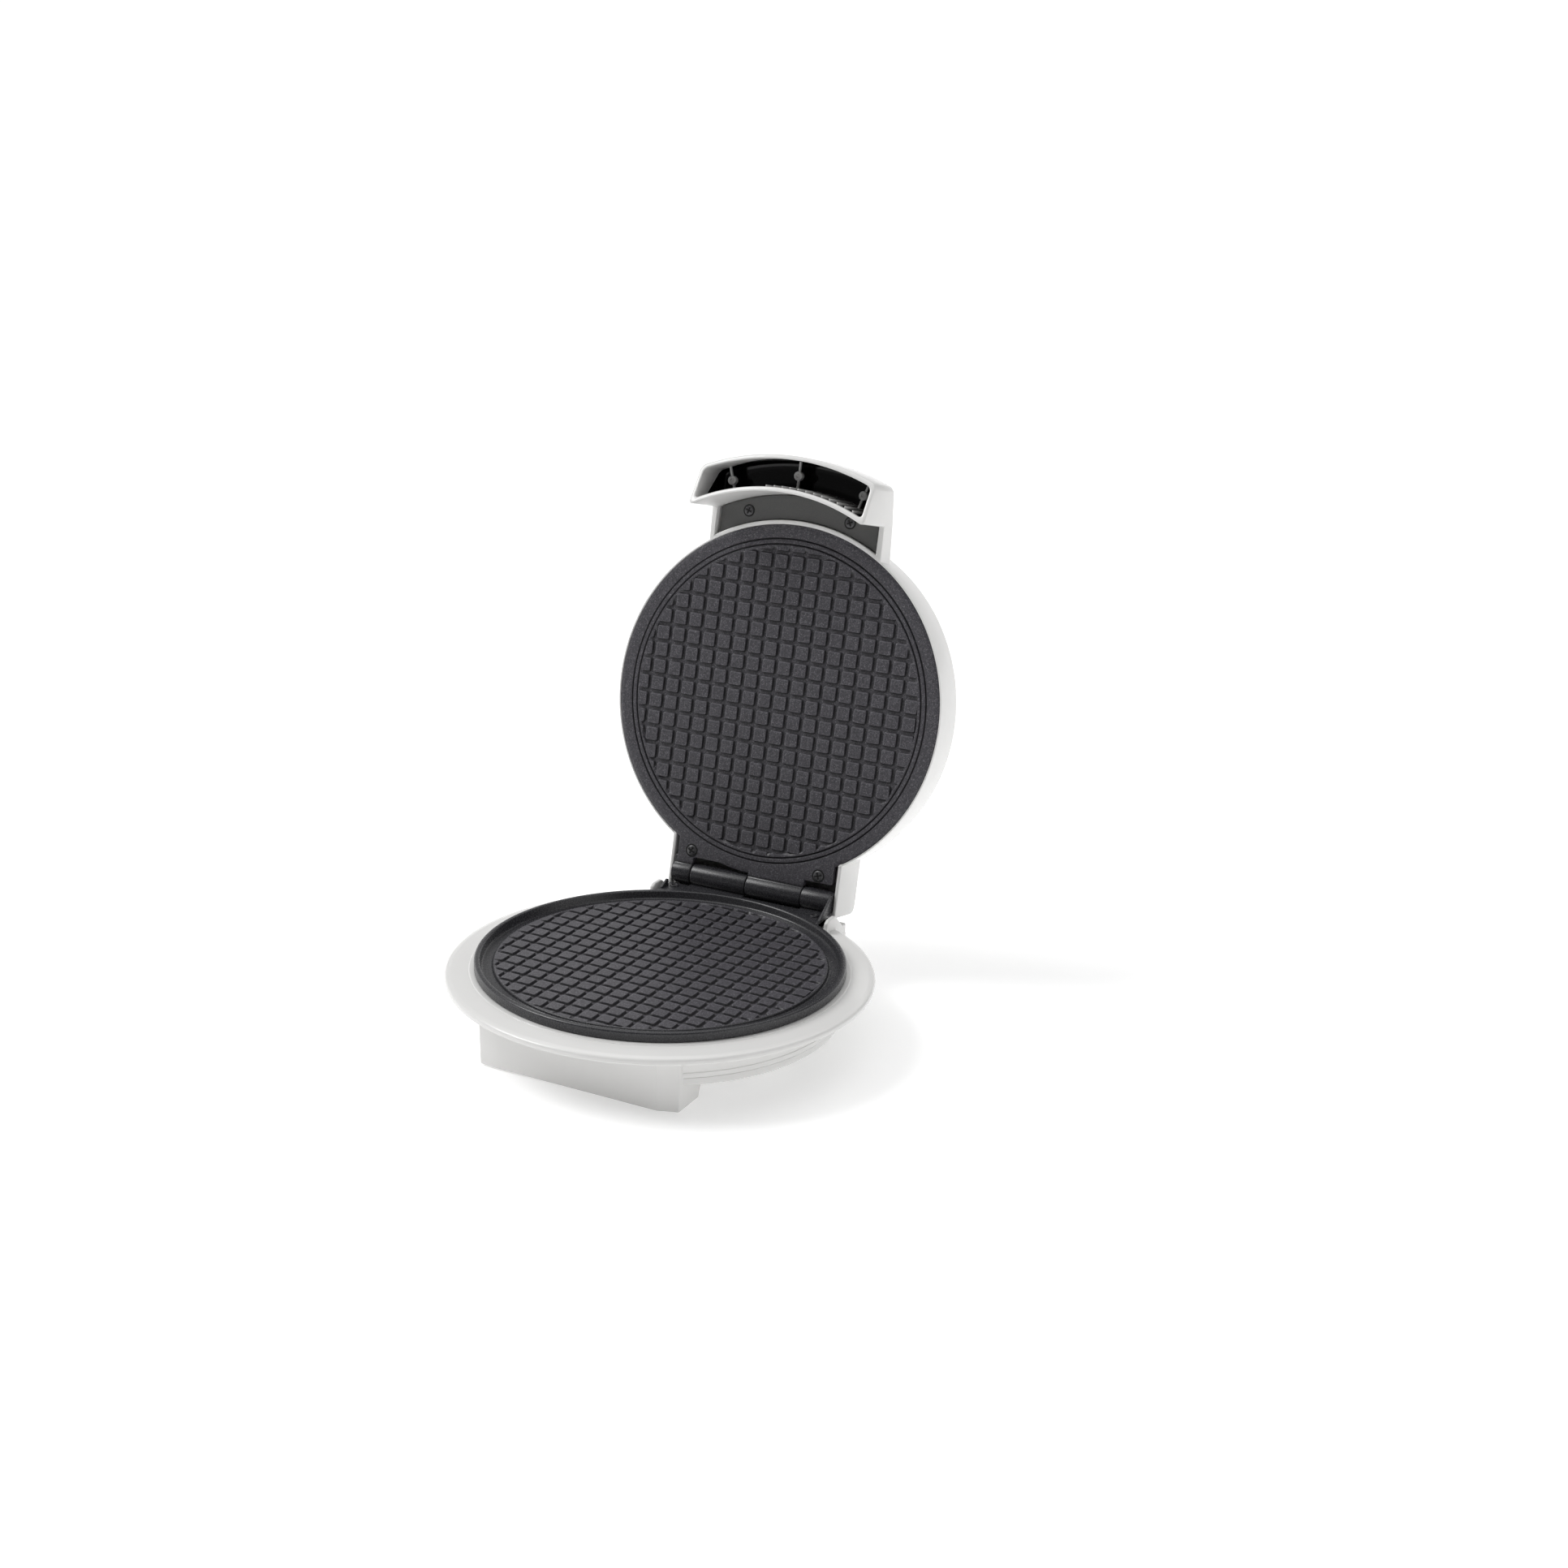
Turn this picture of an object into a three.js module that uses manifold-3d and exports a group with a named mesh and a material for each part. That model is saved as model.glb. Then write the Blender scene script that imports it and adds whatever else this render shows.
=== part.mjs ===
// Round waffle cone maker, lid open. Millimetres, +Z up, front towards -Y.
// The base is drawn about its cooking plate's axis. The lid is drawn closed, about the same axis,
// with z = 0 on its cooking face, and its group is then swung open about the hinge.
import * as THREE from 'three';
import { mergeVertices } from 'three/addons/utils/BufferGeometryUtils.js';
import Module from 'manifold-3d';

const wasm = await Module();
wasm.setup();

// ---------------------------------------------------------------- sizes
const GAP = 0.3; // between pieces that touch
const WALL = 2.6; // moulded casing walls
const ROUND_STEPS = 60; // facets around a full turn of the big round pieces

// lower cooking plate
const PAN_R = 99.4;
const PAN_RIM_W = 3;
const GUTTER_W = 6.8;
const GUTTER_DEPTH = 4.6;
const BATTER_DEPTH = 3; // cooking face below the rim
const PAN_SKIRT = 5.2; // height of the rim's outer wall
const PAN_DEPTH = 8.5; // rim to underside
const PAN_BODY_INSET = 4.8; // rim's outside to the body that drops into the housing

// upper cooking plate
const PLATE_OVERHANG = 1.4; // beyond the lower plate's rim
const PLATE_EDGE = 3;
const PLATE_DEPTH = 6;
const PLATE_STEP = 3; // edge to the thicker middle
const CLOSED_GAP = 0.4; // between the two plates' rims

// base
const RIM_Z = 43.5; // lower plate's rim above the floor
const BODY_DEPTH = 30; // lower plate's rim to the underside of the round body
const FOOT_LIFT = 0.8; // casing above the floor, on its pads
const FLANGE_W = 15.6; // beyond the plate's rim
const FLANGE_FALL = 1.1;
const LIP_ROUND = 3.6;
const LIP_DROP = 5.5;
const DRUM_OUT = 0.6; // drum's top beyond the plate's rim
const DRUM_TAPER = 1.2;
const SEAM_RISE = 5; // cover's side height
const COVER_ROUND = 2.6;

// front foot
const FOOT_HALF = 58;
const FOOT_CREASE = 46.5;
const FOOT_SET_IN = 13.6; // foot's front behind the drum's radius
const FOOT_TURN = 2.2; // how far the corner facets fall back
const FOOT_DEEP = 24;

// side skids under the cover
const SKID_SET_IN = 16.4; // skid's outside from the drum's
const SKID_W = 16;
const SKID_FRONT = 1.7;
const SKID_LONG = 38;

// rear block, which carries the hinge, the stop and the cord inlet
const CHEEK_W = 3; // beside the lid's tail
const REAR_LEAD = 2.71; // block in front of its cheeks
const REAR_PAST_HINGE = 10.1;
const REAR_DROP = 13.5; // block's top below the rim
const REAR_CHAMFER = 5.5;
const CHEEK_RISE = 1.5; // cheeks above the rim
const CHEEK_FLAT_TO = 11.9; // flat top ends in front of the hinge axis
const CHEEK_SLOPE_TO = 5.1; // slope ends behind it
const STOP_HALF = 28;
const STOP_DEEP = 3.2;

// hinge
const HINGE_OUT = 9; // hinge axis beyond the lower plate's rim
const HINGE_RISE = 4.25; // above the rim
const BARREL_R = 6.6;
const BARREL_HALF = 51.9;
const PIN_R = 2.2;
const PIN_CLEAR = 0.1; // running fit in both plates
const KNUCKLE_SPLITS = [-39.5, -3.3, 32.3];
const LUG_SHORT = 1.9; // lug's end inside the barrels' end
const LUG_DEEP = 5;
const FIN_W = 1.4;
const LUG_EDGE = 6.4; // lug's edge in front of the hinge axis
const NOTCH_EDGE = 10.3; // notch over a facing knuckle, in front of the axis

// lid casing
const SHELL_LIP = 0.7;
const SHELL_CLEAR = 0.4; // around the plate's edge
const SHELL_TAPER = 1;
const SHELL_H = 27.6;
const SHELL_ROUND = 1.4;
const TAIL_WIDER = 2.6; // square tail beyond the barrels' end
const TAIL_FROM = 48.4; // tail starts inside the cup, in front of the hinge axis
const TAIL_PAST_HINGE = 8.1;
const TAIL_ROUND = 5;
const TAIL_WALL = 2.2;
const TAIL_END_FROM = 12; // its end wall starts this far behind the plate's face

// handle
const HANDLE_HALF = 54;
const GRIP_CLEAR = 3; // flange's edge to the handle's inner wall
const GRIP_SPAN = 20.8; // inner wall to outer wall
const GRIP_WALL = 2.5;
const GRIP_DROP_IN = 31; // how far the inner wall hangs below the plate's face
const GRIP_DROP_OUT = 20;
const GRIP_BACK_OUT = 9;
const GRIP_BACK_IN = 14;
const GRIP_BACK_ROOT = 17.4;
const ROOT_RIM = 2.1; // lip between the plate and the insert
const BOSS_R = 2.6;
const BOSS_SET_IN = 13; // outer bosses from the handle's side
const BOSS_RECESS = 6; // bosses' ends in front of the plate's face
const RIB_W = 1.5;

// insert in the handle's root
const INSERT_SIDE = 2; // insert's end to the handle's side wall
const INSERT_SET_BACK = 2.5;
const INSERT_THICK = 2.6;
const INSERT_SCREW_IN = 17.6; // from the insert's end

// lamps in the handle's root
const LAMP_FROM_SCREW = 11.9;
const LAMP_R = 3.6;

// heating and control parts
const ELEMENT_INSET = 32.6; // plate body's side to the middle of the tube
const ELEMENT_TUBE_R = 3.2;
const ELEMENT_OPEN_DEG = 24;
const SHIELD_INSET = 13.6; // plate body's side to the shield's
const SHIELD_LEG_IN = 22; // legs inside the element
const SHIELD_THICK = 1;
const SHIELD_RIM = 3;
const SHIELD_DROP = 8.6; // plate's underside to the shield
const THERMOSTAT_R = 8;
const THERMOSTAT_H = 6;

// screws
const SHANK_R = 1.5;
const LUG_SCREW = { head: 2.9, x: 41, inset: 14.2 };
const SMALL_HEAD_R = 2.6;
const COVER_SCREWS = [{ in: 38, y: -34 }, { in: 50, y: 56 }]; // in from the drum's side
const COVER_SCREW_TOP = 3; // solid top of a post over its screw hole
const COVER_HEAD_R = 3.3;
const POST_R = 4.2;

// feet and cord inlet
const PAD_R = 6;
const PAD_THICK = 2.1;
const FRONT_PAD_X = 47;
const REAR_PAD_X = 45;
const INLET_R = 5.2;
const CORD_HOLE_R = 3.4;
const INLET_FLANGE_R = 7.4;
const INLET_LOW = 0.4; // below the middle of the rear block

const OPEN_DEG = 101.6;

// ---------------------------------------------------------------- places worked out from the sizes
const PLATE_R = PAN_R + PLATE_OVERHANG;
const DISC_R = PAN_R - PAN_RIM_W - GUTTER_W;
const PAN_BODY_R = PAN_R - PAN_BODY_INSET;
const HINGE_Y = PAN_R + HINGE_OUT;
const HINGE_Z = RIM_Z + HINGE_RISE;
const SEAT_Z = RIM_Z - PAN_SKIRT - GAP;
const FLANGE_R = PAN_R + FLANGE_W;
const DRUM_R = PAN_R + DRUM_OUT;
const BELLY_Z = RIM_Z - BODY_DEPTH;
const SEAM_Z = BELLY_Z + SEAM_RISE;
const DECK_TOP = RIM_Z - PAN_DEPTH - 2 * GAP;
const DECK_Z = DECK_TOP - WALL;
const FOOT_FRONT = DRUM_R - FOOT_SET_IN;
const SKID_OUT = DRUM_R - SKID_SET_IN;
const SHIELD_R = PAN_BODY_R - SHIELD_INSET;
const ELEMENT_RING_R = PAN_BODY_R - ELEMENT_INSET;
const SHIELD_LOW = RIM_Z - PAN_DEPTH - SHIELD_DROP - SHIELD_THICK;
const AXIS_ABOVE_FACE = HINGE_RISE - CLOSED_GAP; // hinge axis above the lid's face
const SHELL_IN = PLATE_R + SHELL_CLEAR;
const SHELL_R = SHELL_IN + SHELL_LIP;
const LUG_HALF = BARREL_HALF - LUG_SHORT;
const TAIL_HALF = BARREL_HALF + TAIL_WIDER;
const TAIL_START = HINGE_Y - TAIL_FROM;
const TAIL_END = HINGE_Y + TAIL_PAST_HINGE;
const REAR_HALF = TAIL_HALF + CHEEK_W;
const CHEEK_FRONT = Math.sqrt(SHELL_R ** 2 - (TAIL_HALF + GAP) ** 2) + 2 * GAP;
const REAR_START = CHEEK_FRONT - REAR_LEAD;
const REAR_END = HINGE_Y + REAR_PAST_HINGE;
const REAR_TOP = RIM_Z - REAR_DROP;
const INLET_Z = (FOOT_LIFT + REAR_TOP) / 2 - INLET_LOW;
const INSERT_HALF = HANDLE_HALF - GRIP_WALL - INSERT_SIDE;
const INSERT_SCREW_X = INSERT_HALF - INSERT_SCREW_IN;
const LAMP_X = INSERT_SCREW_X - LAMP_FROM_SCREW;
const BOSS_X = HANDLE_HALF - BOSS_SET_IN;
const COVER_POST_TOP = SHIELD_LOW - GAP - 0.1;
const COVER_SCREW_Z = BELLY_Z + 1.4 - GAP;
const GRIP_IN = FLANGE_R + GRIP_CLEAR;
const GRIP_OUT = GRIP_IN + GRIP_SPAN;
const ROOT_IN = SHELL_IN + ROOT_RIM;
const KNUCKLE_ENDS = [-BARREL_HALF, ...KNUCKLE_SPLITS, BARREL_HALF];
const OPEN = THREE.MathUtils.degToRad(OPEN_DEG);

// ---------------------------------------------------------------- materials
const plastic = (color, roughness) => new THREE.MeshStandardMaterial({ color, roughness, metalness: 0 });
const metal = (color, roughness) => new THREE.MeshStandardMaterial({ color, roughness, metalness: 1 });
const whiteCasing = () => plastic(0xebeae6, 0.25);
const darkInsert = () => plastic(0x4c4c4d, 0.6);
const nonStick = () => new THREE.MeshStandardMaterial({ color: 0x3a393d, roughness: 0.5, metalness: 0.3 });
const steel = () => metal(0xb8babd, 0.35);
const darkSteel = () => metal(0x3a3a3c, 0.4);
const tinned = () => metal(0x9d9fa2, 0.5);
const rubber = () => plastic(0x2b2b2c, 0.9);
const ceramic = () => plastic(0xd9d2c0, 0.7);

// ---------------------------------------------------------------- solids
function solid(geometry) {
  const plain = geometry.index ? geometry.toNonIndexed() : geometry;
  plain.deleteAttribute('normal');
  plain.deleteAttribute('uv');
  const merged = mergeVertices(plain, 1e-4);
  const index = merged.index.array;
  const kept = [];
  for (let i = 0; i < index.length; i += 3) {
    const [a, b, c] = [index[i], index[i + 1], index[i + 2]];
    if (a !== b && b !== c && c !== a) kept.push(a, b, c);
  }
  return new wasm.Manifold(new wasm.Mesh({
    numProp: 3,
    vertProperties: new Float32Array(merged.attributes.position.array),
    triVerts: new Uint32Array(kept),
  }));
}

function mesh(name, body, material) {
  const { vertProperties, triVerts } = body.getMesh();
  const geometry = new THREE.BufferGeometry();
  geometry.setAttribute('position', new THREE.BufferAttribute(vertProperties, 3));
  geometry.setIndex(new THREE.BufferAttribute(triVerts, 1));
  geometry.computeVertexNormals();
  const made = new THREE.Mesh(geometry, material);
  made.name = name;
  return made;
}

const union = (bodies) => bodies.reduce((all, body) => all.add(body));
const without = (body, cuts) => cuts.reduce((left, cut) => left.subtract(cut), body);

// A closed (radius, z) outline, counter-clockwise, turned about Z.
function turned(outline, steps = ROUND_STEPS) {
  const points = outline.map(([r, z]) => new THREE.Vector2(r, z));
  if (outline[0][0] > 0) points.push(points[0].clone());
  const geometry = new THREE.LatheGeometry(points, steps);
  geometry.rotateX(Math.PI / 2);
  return solid(geometry);
}

function extruded(outline, length) {
  const shape = new THREE.Shape(outline.map(([a, b]) => new THREE.Vector2(a, b)));
  return new THREE.ExtrudeGeometry(shape, { depth: length, bevelEnabled: false });
}

// An (x, y) outline between two heights.
function upright(outline, z0, z1) {
  const geometry = extruded(outline, z1 - z0);
  geometry.translate(0, 0, z0);
  return solid(geometry);
}

// A (y, z) outline between two values of x.
function sideways(outline, x0, x1) {
  const geometry = extruded(outline, x1 - x0);
  const turn = new THREE.Matrix4().set(0, 0, 1, 0, 1, 0, 0, 0, 0, 1, 0, 0, 0, 0, 0, 1);
  geometry.applyMatrix4(turn);
  geometry.translate(x0, 0, 0);
  return solid(geometry);
}

function box(x0, x1, y0, y1, z0, z1) {
  const geometry = new THREE.BoxGeometry(x1 - x0, y1 - y0, z1 - z0);
  geometry.translate((x0 + x1) / 2, (y0 + y1) / 2, (z0 + z1) / 2);
  return solid(geometry);
}

function post(x, y, r, z0, z1, steps = 18) {
  const geometry = new THREE.CylinderGeometry(r, r, z1 - z0, steps);
  geometry.rotateX(Math.PI / 2);
  geometry.translate(x, y, (z0 + z1) / 2);
  return solid(geometry);
}

function axle(y, z, r, x0, x1, steps = 32) {
  const geometry = new THREE.CylinderGeometry(r, r, x1 - x0, steps);
  geometry.rotateZ(Math.PI / 2);
  geometry.translate((x0 + x1) / 2, y, z);
  return solid(geometry);
}

// Points of an arc in the plane of an outline, angles in degrees.
function arc(cx, cy, r, from, to, steps = 6) {
  return Array.from({ length: steps + 1 }, (_, i) => {
    const angle = THREE.MathUtils.degToRad(from + (to - from) * i / steps);
    return [cx + r * Math.cos(angle), cy + r * Math.sin(angle)];
  });
}

// A head of radius head and height rise below z = 0 of the screw, its shank going up to length.
function screw(head, rise, length) {
  const body = turned([[0, -rise], [head * 0.7, -rise], [head, -rise * 0.4], [head, 0],
    [SHANK_R, 0], [SHANK_R, length - 1], [SHANK_R * 0.4, length], [0, length]], 12);
  const slot = head * 0.6;
  const blade = head * 0.12;
  return without(body, [
    box(-slot, slot, -blade, blade, -rise - 1, -rise * 0.45),
    box(-blade, blade, -slot, slot, -rise - 1, -rise * 0.45),
  ]);
}

function placed(made, x, y, z) {
  made.position.set(x, y, z);
  return made;
}

const mirrored = (make) => [-1, 1].map(make);

// ---------------------------------------------------------------- base casing
function flange() {
  const edge = FLANGE_R - LIP_ROUND;
  const topZ = SEAT_Z - FLANGE_FALL;
  return turned([
    [PAN_BODY_R + 2 * GAP, SEAT_Z - WALL],
    [FLANGE_R - WALL, topZ - WALL],
    [FLANGE_R - WALL, topZ - LIP_DROP],
    [FLANGE_R, topZ - LIP_DROP],
    ...arc(edge, topZ - LIP_ROUND, LIP_ROUND, 0, 90, 5),
    [PAN_BODY_R + 2 * GAP, SEAT_Z],
  ]);
}

function drum() {
  const top = SEAT_Z - WALL / 2;
  const low = DRUM_R - DRUM_TAPER;
  const ring = turned([[low - WALL, SEAM_Z], [low, SEAM_Z], [DRUM_R, top], [DRUM_R - WALL, top]]);
  const ahead = -(FOOT_FRONT - FOOT_TURN - 1);
  return ring.subtract(box(-FLANGE_R, FLANGE_R, -FLANGE_R, ahead, 0, DECK_Z));
}

// Outline of the front foot, grown outwards by a margin.
function footOutline(margin = 0) {
  const corner = FOOT_FRONT - FOOT_TURN;
  return [
    [-FOOT_HALF - margin, -FOOT_FRONT + FOOT_DEEP + margin],
    [-FOOT_HALF - margin, -corner - margin],
    [-FOOT_CREASE, -FOOT_FRONT - margin],
    [FOOT_CREASE, -FOOT_FRONT - margin],
    [FOOT_HALF + margin, -corner - margin],
    [FOOT_HALF + margin, -FOOT_FRONT + FOOT_DEEP + margin],
  ];
}

function frontFoot() {
  const tray = upright(footOutline(), FOOT_LIFT, SEAM_Z + 1.5)
    .subtract(upright(footOutline(-WALL), FOOT_LIFT + WALL, SEAM_Z + 2));
  const behind = FOOT_FRONT - FOOT_TURN - WALL;
  const apron = upright(footOutline(), FOOT_LIFT, DECK_Z + WALL / 2)
    .subtract(upright(footOutline(-WALL), FOOT_LIFT + WALL, DECK_Z + WALL))
    .subtract(box(-FLANGE_R, FLANGE_R, -behind, 0, SEAM_Z, DECK_Z + WALL));
  const deck = post(0, 0, DRUM_R - WALL / 2, DECK_Z, DECK_TOP, ROUND_STEPS)
    .subtract(box(-FLANGE_R, FLANGE_R, -(FOOT_FRONT - WALL), FLANGE_R, 0, RIM_Z));
  return union([tray, apron, deck]);
}

function rearOutline(margin = 0) {
  return [
    [-REAR_HALF - margin, REAR_START - margin],
    [REAR_HALF + margin, REAR_START - margin],
    [REAR_HALF + margin, REAR_END - REAR_CHAMFER],
    [REAR_HALF - REAR_CHAMFER, REAR_END + margin],
    [-REAR_HALF + REAR_CHAMFER, REAR_END + margin],
    [-REAR_HALF - margin, REAR_END - REAR_CHAMFER],
  ];
}

function rearBlock() {
  const cheekZ = RIM_Z + CHEEK_RISE;
  const side = sideways([
    [REAR_START, FOOT_LIFT], [REAR_END, FOOT_LIFT], [REAR_END, REAR_TOP],
    [HINGE_Y + CHEEK_SLOPE_TO, REAR_TOP], [HINGE_Y - CHEEK_FLAT_TO, cheekZ], [CHEEK_FRONT + 1, cheekZ],
    [CHEEK_FRONT, cheekZ - 1], [CHEEK_FRONT, RIM_Z - GAP],
    [REAR_START, RIM_Z - GAP],
  ], -REAR_HALF, REAR_HALF);
  const between = TAIL_HALF + 2 * GAP;
  const deckTop = SEAT_Z - WALL;
  const outer = upright(rearOutline(), FOOT_LIFT, cheekZ).intersect(side)
    .subtract(box(-between, between, 0, REAR_END + 1, deckTop, cheekZ + 1));
  const tailLow = HINGE_Z - stopFall(REAR_END) - GAP;
  const stop = box(-STOP_HALF, STOP_HALF, REAR_END - STOP_DEEP, REAR_END, REAR_TOP - 1, tailLow);
  const posts = mirrored((s) => post(s * REAR_PAD_X, rearPadY(), PAD_R + WALL, FOOT_LIFT, FOOT_LIFT + WALL + 1));
  const plateRoom = post(0, 0, PAN_BODY_R + GAP, RIM_Z - PAN_DEPTH - 2 * GAP, SEAT_Z, ROUND_STEPS);
  return union([outer, stop, ...posts]).subtract(plateRoom);
}

// How far the open lid's tail end lies below the hinge axis at a place behind it.
function stopFall(y) {
  const lean = OPEN - Math.PI / 2;
  const reach = TAIL_PAST_HINGE / Math.cos(lean);
  return reach + (y - HINGE_Y) * Math.tan(lean);
}

function rearHollow() {
  const low = box(-REAR_HALF + WALL, REAR_HALF - WALL, REAR_START + WALL, REAR_END - WALL,
    FOOT_LIFT + WALL, REAR_TOP - WALL);
  const toDrum = box(-REAR_HALF + WALL, REAR_HALF - WALL, REAR_START - 12, REAR_START + 2 * WALL,
    SEAM_Z + 1.5, REAR_TOP - WALL);
  return low.add(toDrum);
}

const rearPadY = () => REAR_END - WALL - PAD_R - 3;
const frontPadY = () => -FOOT_FRONT + FOOT_DEEP / 2;
const padPlaces = () => mirrored((s) => [s * FRONT_PAD_X, frontPadY()])
  .concat(mirrored((s) => [s * REAR_PAD_X, rearPadY()]));
const coverScrewPlaces = () => COVER_SCREWS.flatMap((at) => [[at.in - DRUM_R, at.y], [DRUM_R - at.in, at.y]]);

function coverPost([x, y]) {
  const top = COVER_POST_TOP;
  const column = post(x, y, POST_R, BELLY_Z + WALL + GAP, top);
  const reach = Math.hypot(x, y);
  const out = DRUM_R - WALL / 2 - reach;
  const web = new THREE.BoxGeometry(out, 2, top - SEAM_Z - 1);
  web.translate(reach + out / 2, 0, (top + SEAM_Z + 1) / 2);
  web.rotateZ(Math.atan2(y, x));
  return column.add(solid(web)).subtract(post(x, y, SHANK_R + GAP, 0, top - COVER_SCREW_TOP, 16));
}

function lowerHousing() {
  const pockets = padPlaces().map(([x, y]) => post(x, y, PAD_R + GAP, 0, PAD_THICK + GAP));
  const inlet = new THREE.CylinderGeometry(INLET_R + GAP, INLET_R + GAP, 4 * WALL, 24);
  inlet.translate(0, REAR_END, INLET_Z);
  const casing = union([flange(), drum(), frontFoot(), rearBlock()]);
  const posts = union(coverScrewPlaces().map(coverPost));
  const body = without(casing, [rearHollow(), solid(inlet), ...pockets]).add(posts);
  return mesh('lower_housing', body, whiteCasing());
}

function bottomCover() {
  const low = DRUM_R - DRUM_TAPER - GAP;
  const dish = turned([
    [0, BELLY_Z], ...arc(low - COVER_ROUND, BELLY_Z + COVER_ROUND, COVER_ROUND, -90, 0, 4),
    [low, SEAM_Z - GAP], [low - WALL, SEAM_Z - GAP],
    [low - WALL, BELLY_Z + WALL], [0, BELLY_Z + WALL],
  ]);
  const skid = (s) => {
    const [a, b] = s < 0 ? [-SKID_OUT, -SKID_OUT + SKID_W] : [SKID_OUT - SKID_W, SKID_OUT];
    const end = SKID_FRONT + SKID_LONG;
    return box(a, b, SKID_FRONT, end, FOOT_LIFT, BELLY_Z + WALL / 2)
      .subtract(box(a + WALL, b - WALL, SKID_FRONT + WALL, end - WALL, FOOT_LIFT + WALL, BELLY_Z + 2 * WALL));
  };
  const well = (s) => {
    const [a, b] = s < 0 ? [-SKID_OUT, -SKID_OUT + SKID_W] : [SKID_OUT - SKID_W, SKID_OUT];
    return box(a + WALL, b - WALL, SKID_FRONT + WALL, SKID_FRONT + SKID_LONG - WALL, BELLY_Z - 1, SEAM_Z);
  };
  const holes = coverScrewPlaces().flatMap(([x, y]) => [
    post(x, y, SHANK_R + GAP, 0, SEAM_Z, 16),
    post(x, y, COVER_HEAD_R + GAP, 0, BELLY_Z + 1.4, 24),
  ]);
  const body = without(union([dish, ...mirrored(skid)]), [
    ...mirrored(well), ...holes,
    upright(footOutline(GAP), 0, RIM_Z),
    upright(rearOutline(GAP), 0, RIM_Z),
    box(-FLANGE_R, FLANGE_R, -FLANGE_R, -(FOOT_FRONT - FOOT_TURN - 1), 0, RIM_Z),
  ]);
  return mesh('bottom_cover', body, whiteCasing());
}

// ---------------------------------------------------------------- lower plate and hinge
function barrel(from, to, z) {
  return axle(HINGE_Y, z, BARREL_R, from, to);
}

function lowerKnuckle(from, to) {
  const front = HINGE_Y - NOTCH_EDGE + 2 * GAP;
  const web = sideways([
    [front - 3, -PAN_SKIRT], [front, -PAN_SKIRT], [HINGE_Y, HINGE_RISE - BARREL_R + 0.2],
    [HINGE_Y, HINGE_RISE], [HINGE_Y - BARREL_R + 0.1, HINGE_RISE], [front, 0], [front - 3, 0],
  ], from, to);
  return barrel(from, to, HINGE_RISE).add(web);
}

function lowerPlate() {
  const rimIn = PAN_R - PAN_RIM_W;
  const dish = turned([
    [0, -PAN_DEPTH], [PAN_BODY_R, -PAN_DEPTH], [PAN_BODY_R, -PAN_SKIRT], [PAN_R - 0.1, -PAN_SKIRT],
    [PAN_R, -0.5], [PAN_R - 0.5, 0], [rimIn + 0.5, 0], [rimIn, -0.5],
    [rimIn - 0.6, -GUTTER_DEPTH], [DISC_R + 0.4, -GUTTER_DEPTH], [DISC_R, -BATTER_DEPTH], [0, -BATTER_DEPTH],
  ]);
  const lugEnd = HINGE_Y - NOTCH_EDGE + 2 * GAP;
  const lug = box(-BARREL_HALF, BARREL_HALF, 0, lugEnd, -PAN_SKIRT, 0)
    .subtract(post(0, 0, PAN_R - 1, -PAN_DEPTH, 1, ROUND_STEPS));
  const [, a, b, c, end] = KNUCKLE_ENDS;
  const half = GAP / 2;
  const finFront = Math.sqrt((PAN_R - 1) ** 2 - BARREL_HALF ** 2);
  const finFoot = Math.sqrt(PLATE_R ** 2 - (BARREL_HALF - FIN_W) ** 2) + 1;
  const fin = sideways([
    [finFront, -PAN_SKIRT], [HINGE_Y, -2], [HINGE_Y, HINGE_RISE + BARREL_R - 0.1],
    [HINGE_Y - 4, HINGE_RISE + BARREL_R - 0.9], [finFoot, 0], [finFront, 0],
  ], end - FIN_W, end);
  const bore = axle(HINGE_Y, HINGE_RISE, PIN_R + PIN_CLEAR, -BARREL_HALF - 1, BARREL_HALF + 1, 24);
  const body = union([dish, lug, lowerKnuckle(a + half, b - half), lowerKnuckle(c + half, end), fin]);
  return placed(mesh('lower_plate', body.subtract(bore), nonStick()), 0, 0, RIM_Z);
}

function hingePin() {
  return mesh('hinge_pin', axle(HINGE_Y, HINGE_Z, PIN_R, -BARREL_HALF, BARREL_HALF, 24), steel());
}

// ---------------------------------------------------------------- heating parts, drawn hanging below z = 0
function elementRing() {
  const gap = ELEMENT_OPEN_DEG / 2;
  const steps = 30;
  const route = Array.from({ length: steps + 1 }, (_, i) => {
    const angle = THREE.MathUtils.degToRad(90 + gap + (360 - 2 * gap) * i / steps);
    return new THREE.Vector3(ELEMENT_RING_R * Math.cos(angle), ELEMENT_RING_R * Math.sin(angle), 0);
  });
  const section = new THREE.Shape(arc(0, 0, ELEMENT_TUBE_R, 0, 315, 7).map(([a, b]) => new THREE.Vector2(a, b)));
  const geometry = new THREE.ExtrudeGeometry(section, {
    steps, bevelEnabled: false, extrudePath: new THREE.CatmullRomCurve3(route),
  });
  geometry.translate(0, 0, -ELEMENT_TUBE_R - GAP);
  return solid(geometry);
}

function shieldDish() {
  const low = -SHIELD_DROP - SHIELD_THICK;
  const dish = turned([
    [0, low], [SHIELD_R - SHIELD_THICK, low], [SHIELD_R, low + SHIELD_THICK], [SHIELD_R, low + SHIELD_RIM],
    [SHIELD_R - SHIELD_THICK, low + SHIELD_RIM], [SHIELD_R - SHIELD_THICK, -SHIELD_DROP], [0, -SHIELD_DROP],
  ], 40);
  const stands = [90, 210, 330].map((deg) => {
    const angle = THREE.MathUtils.degToRad(deg);
    const reach = ELEMENT_RING_R - SHIELD_LEG_IN;
    return post(reach * Math.cos(angle), reach * Math.sin(angle), 2.5, low, -GAP, 10);
  });
  return union([dish, ...stands]);
}

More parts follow.
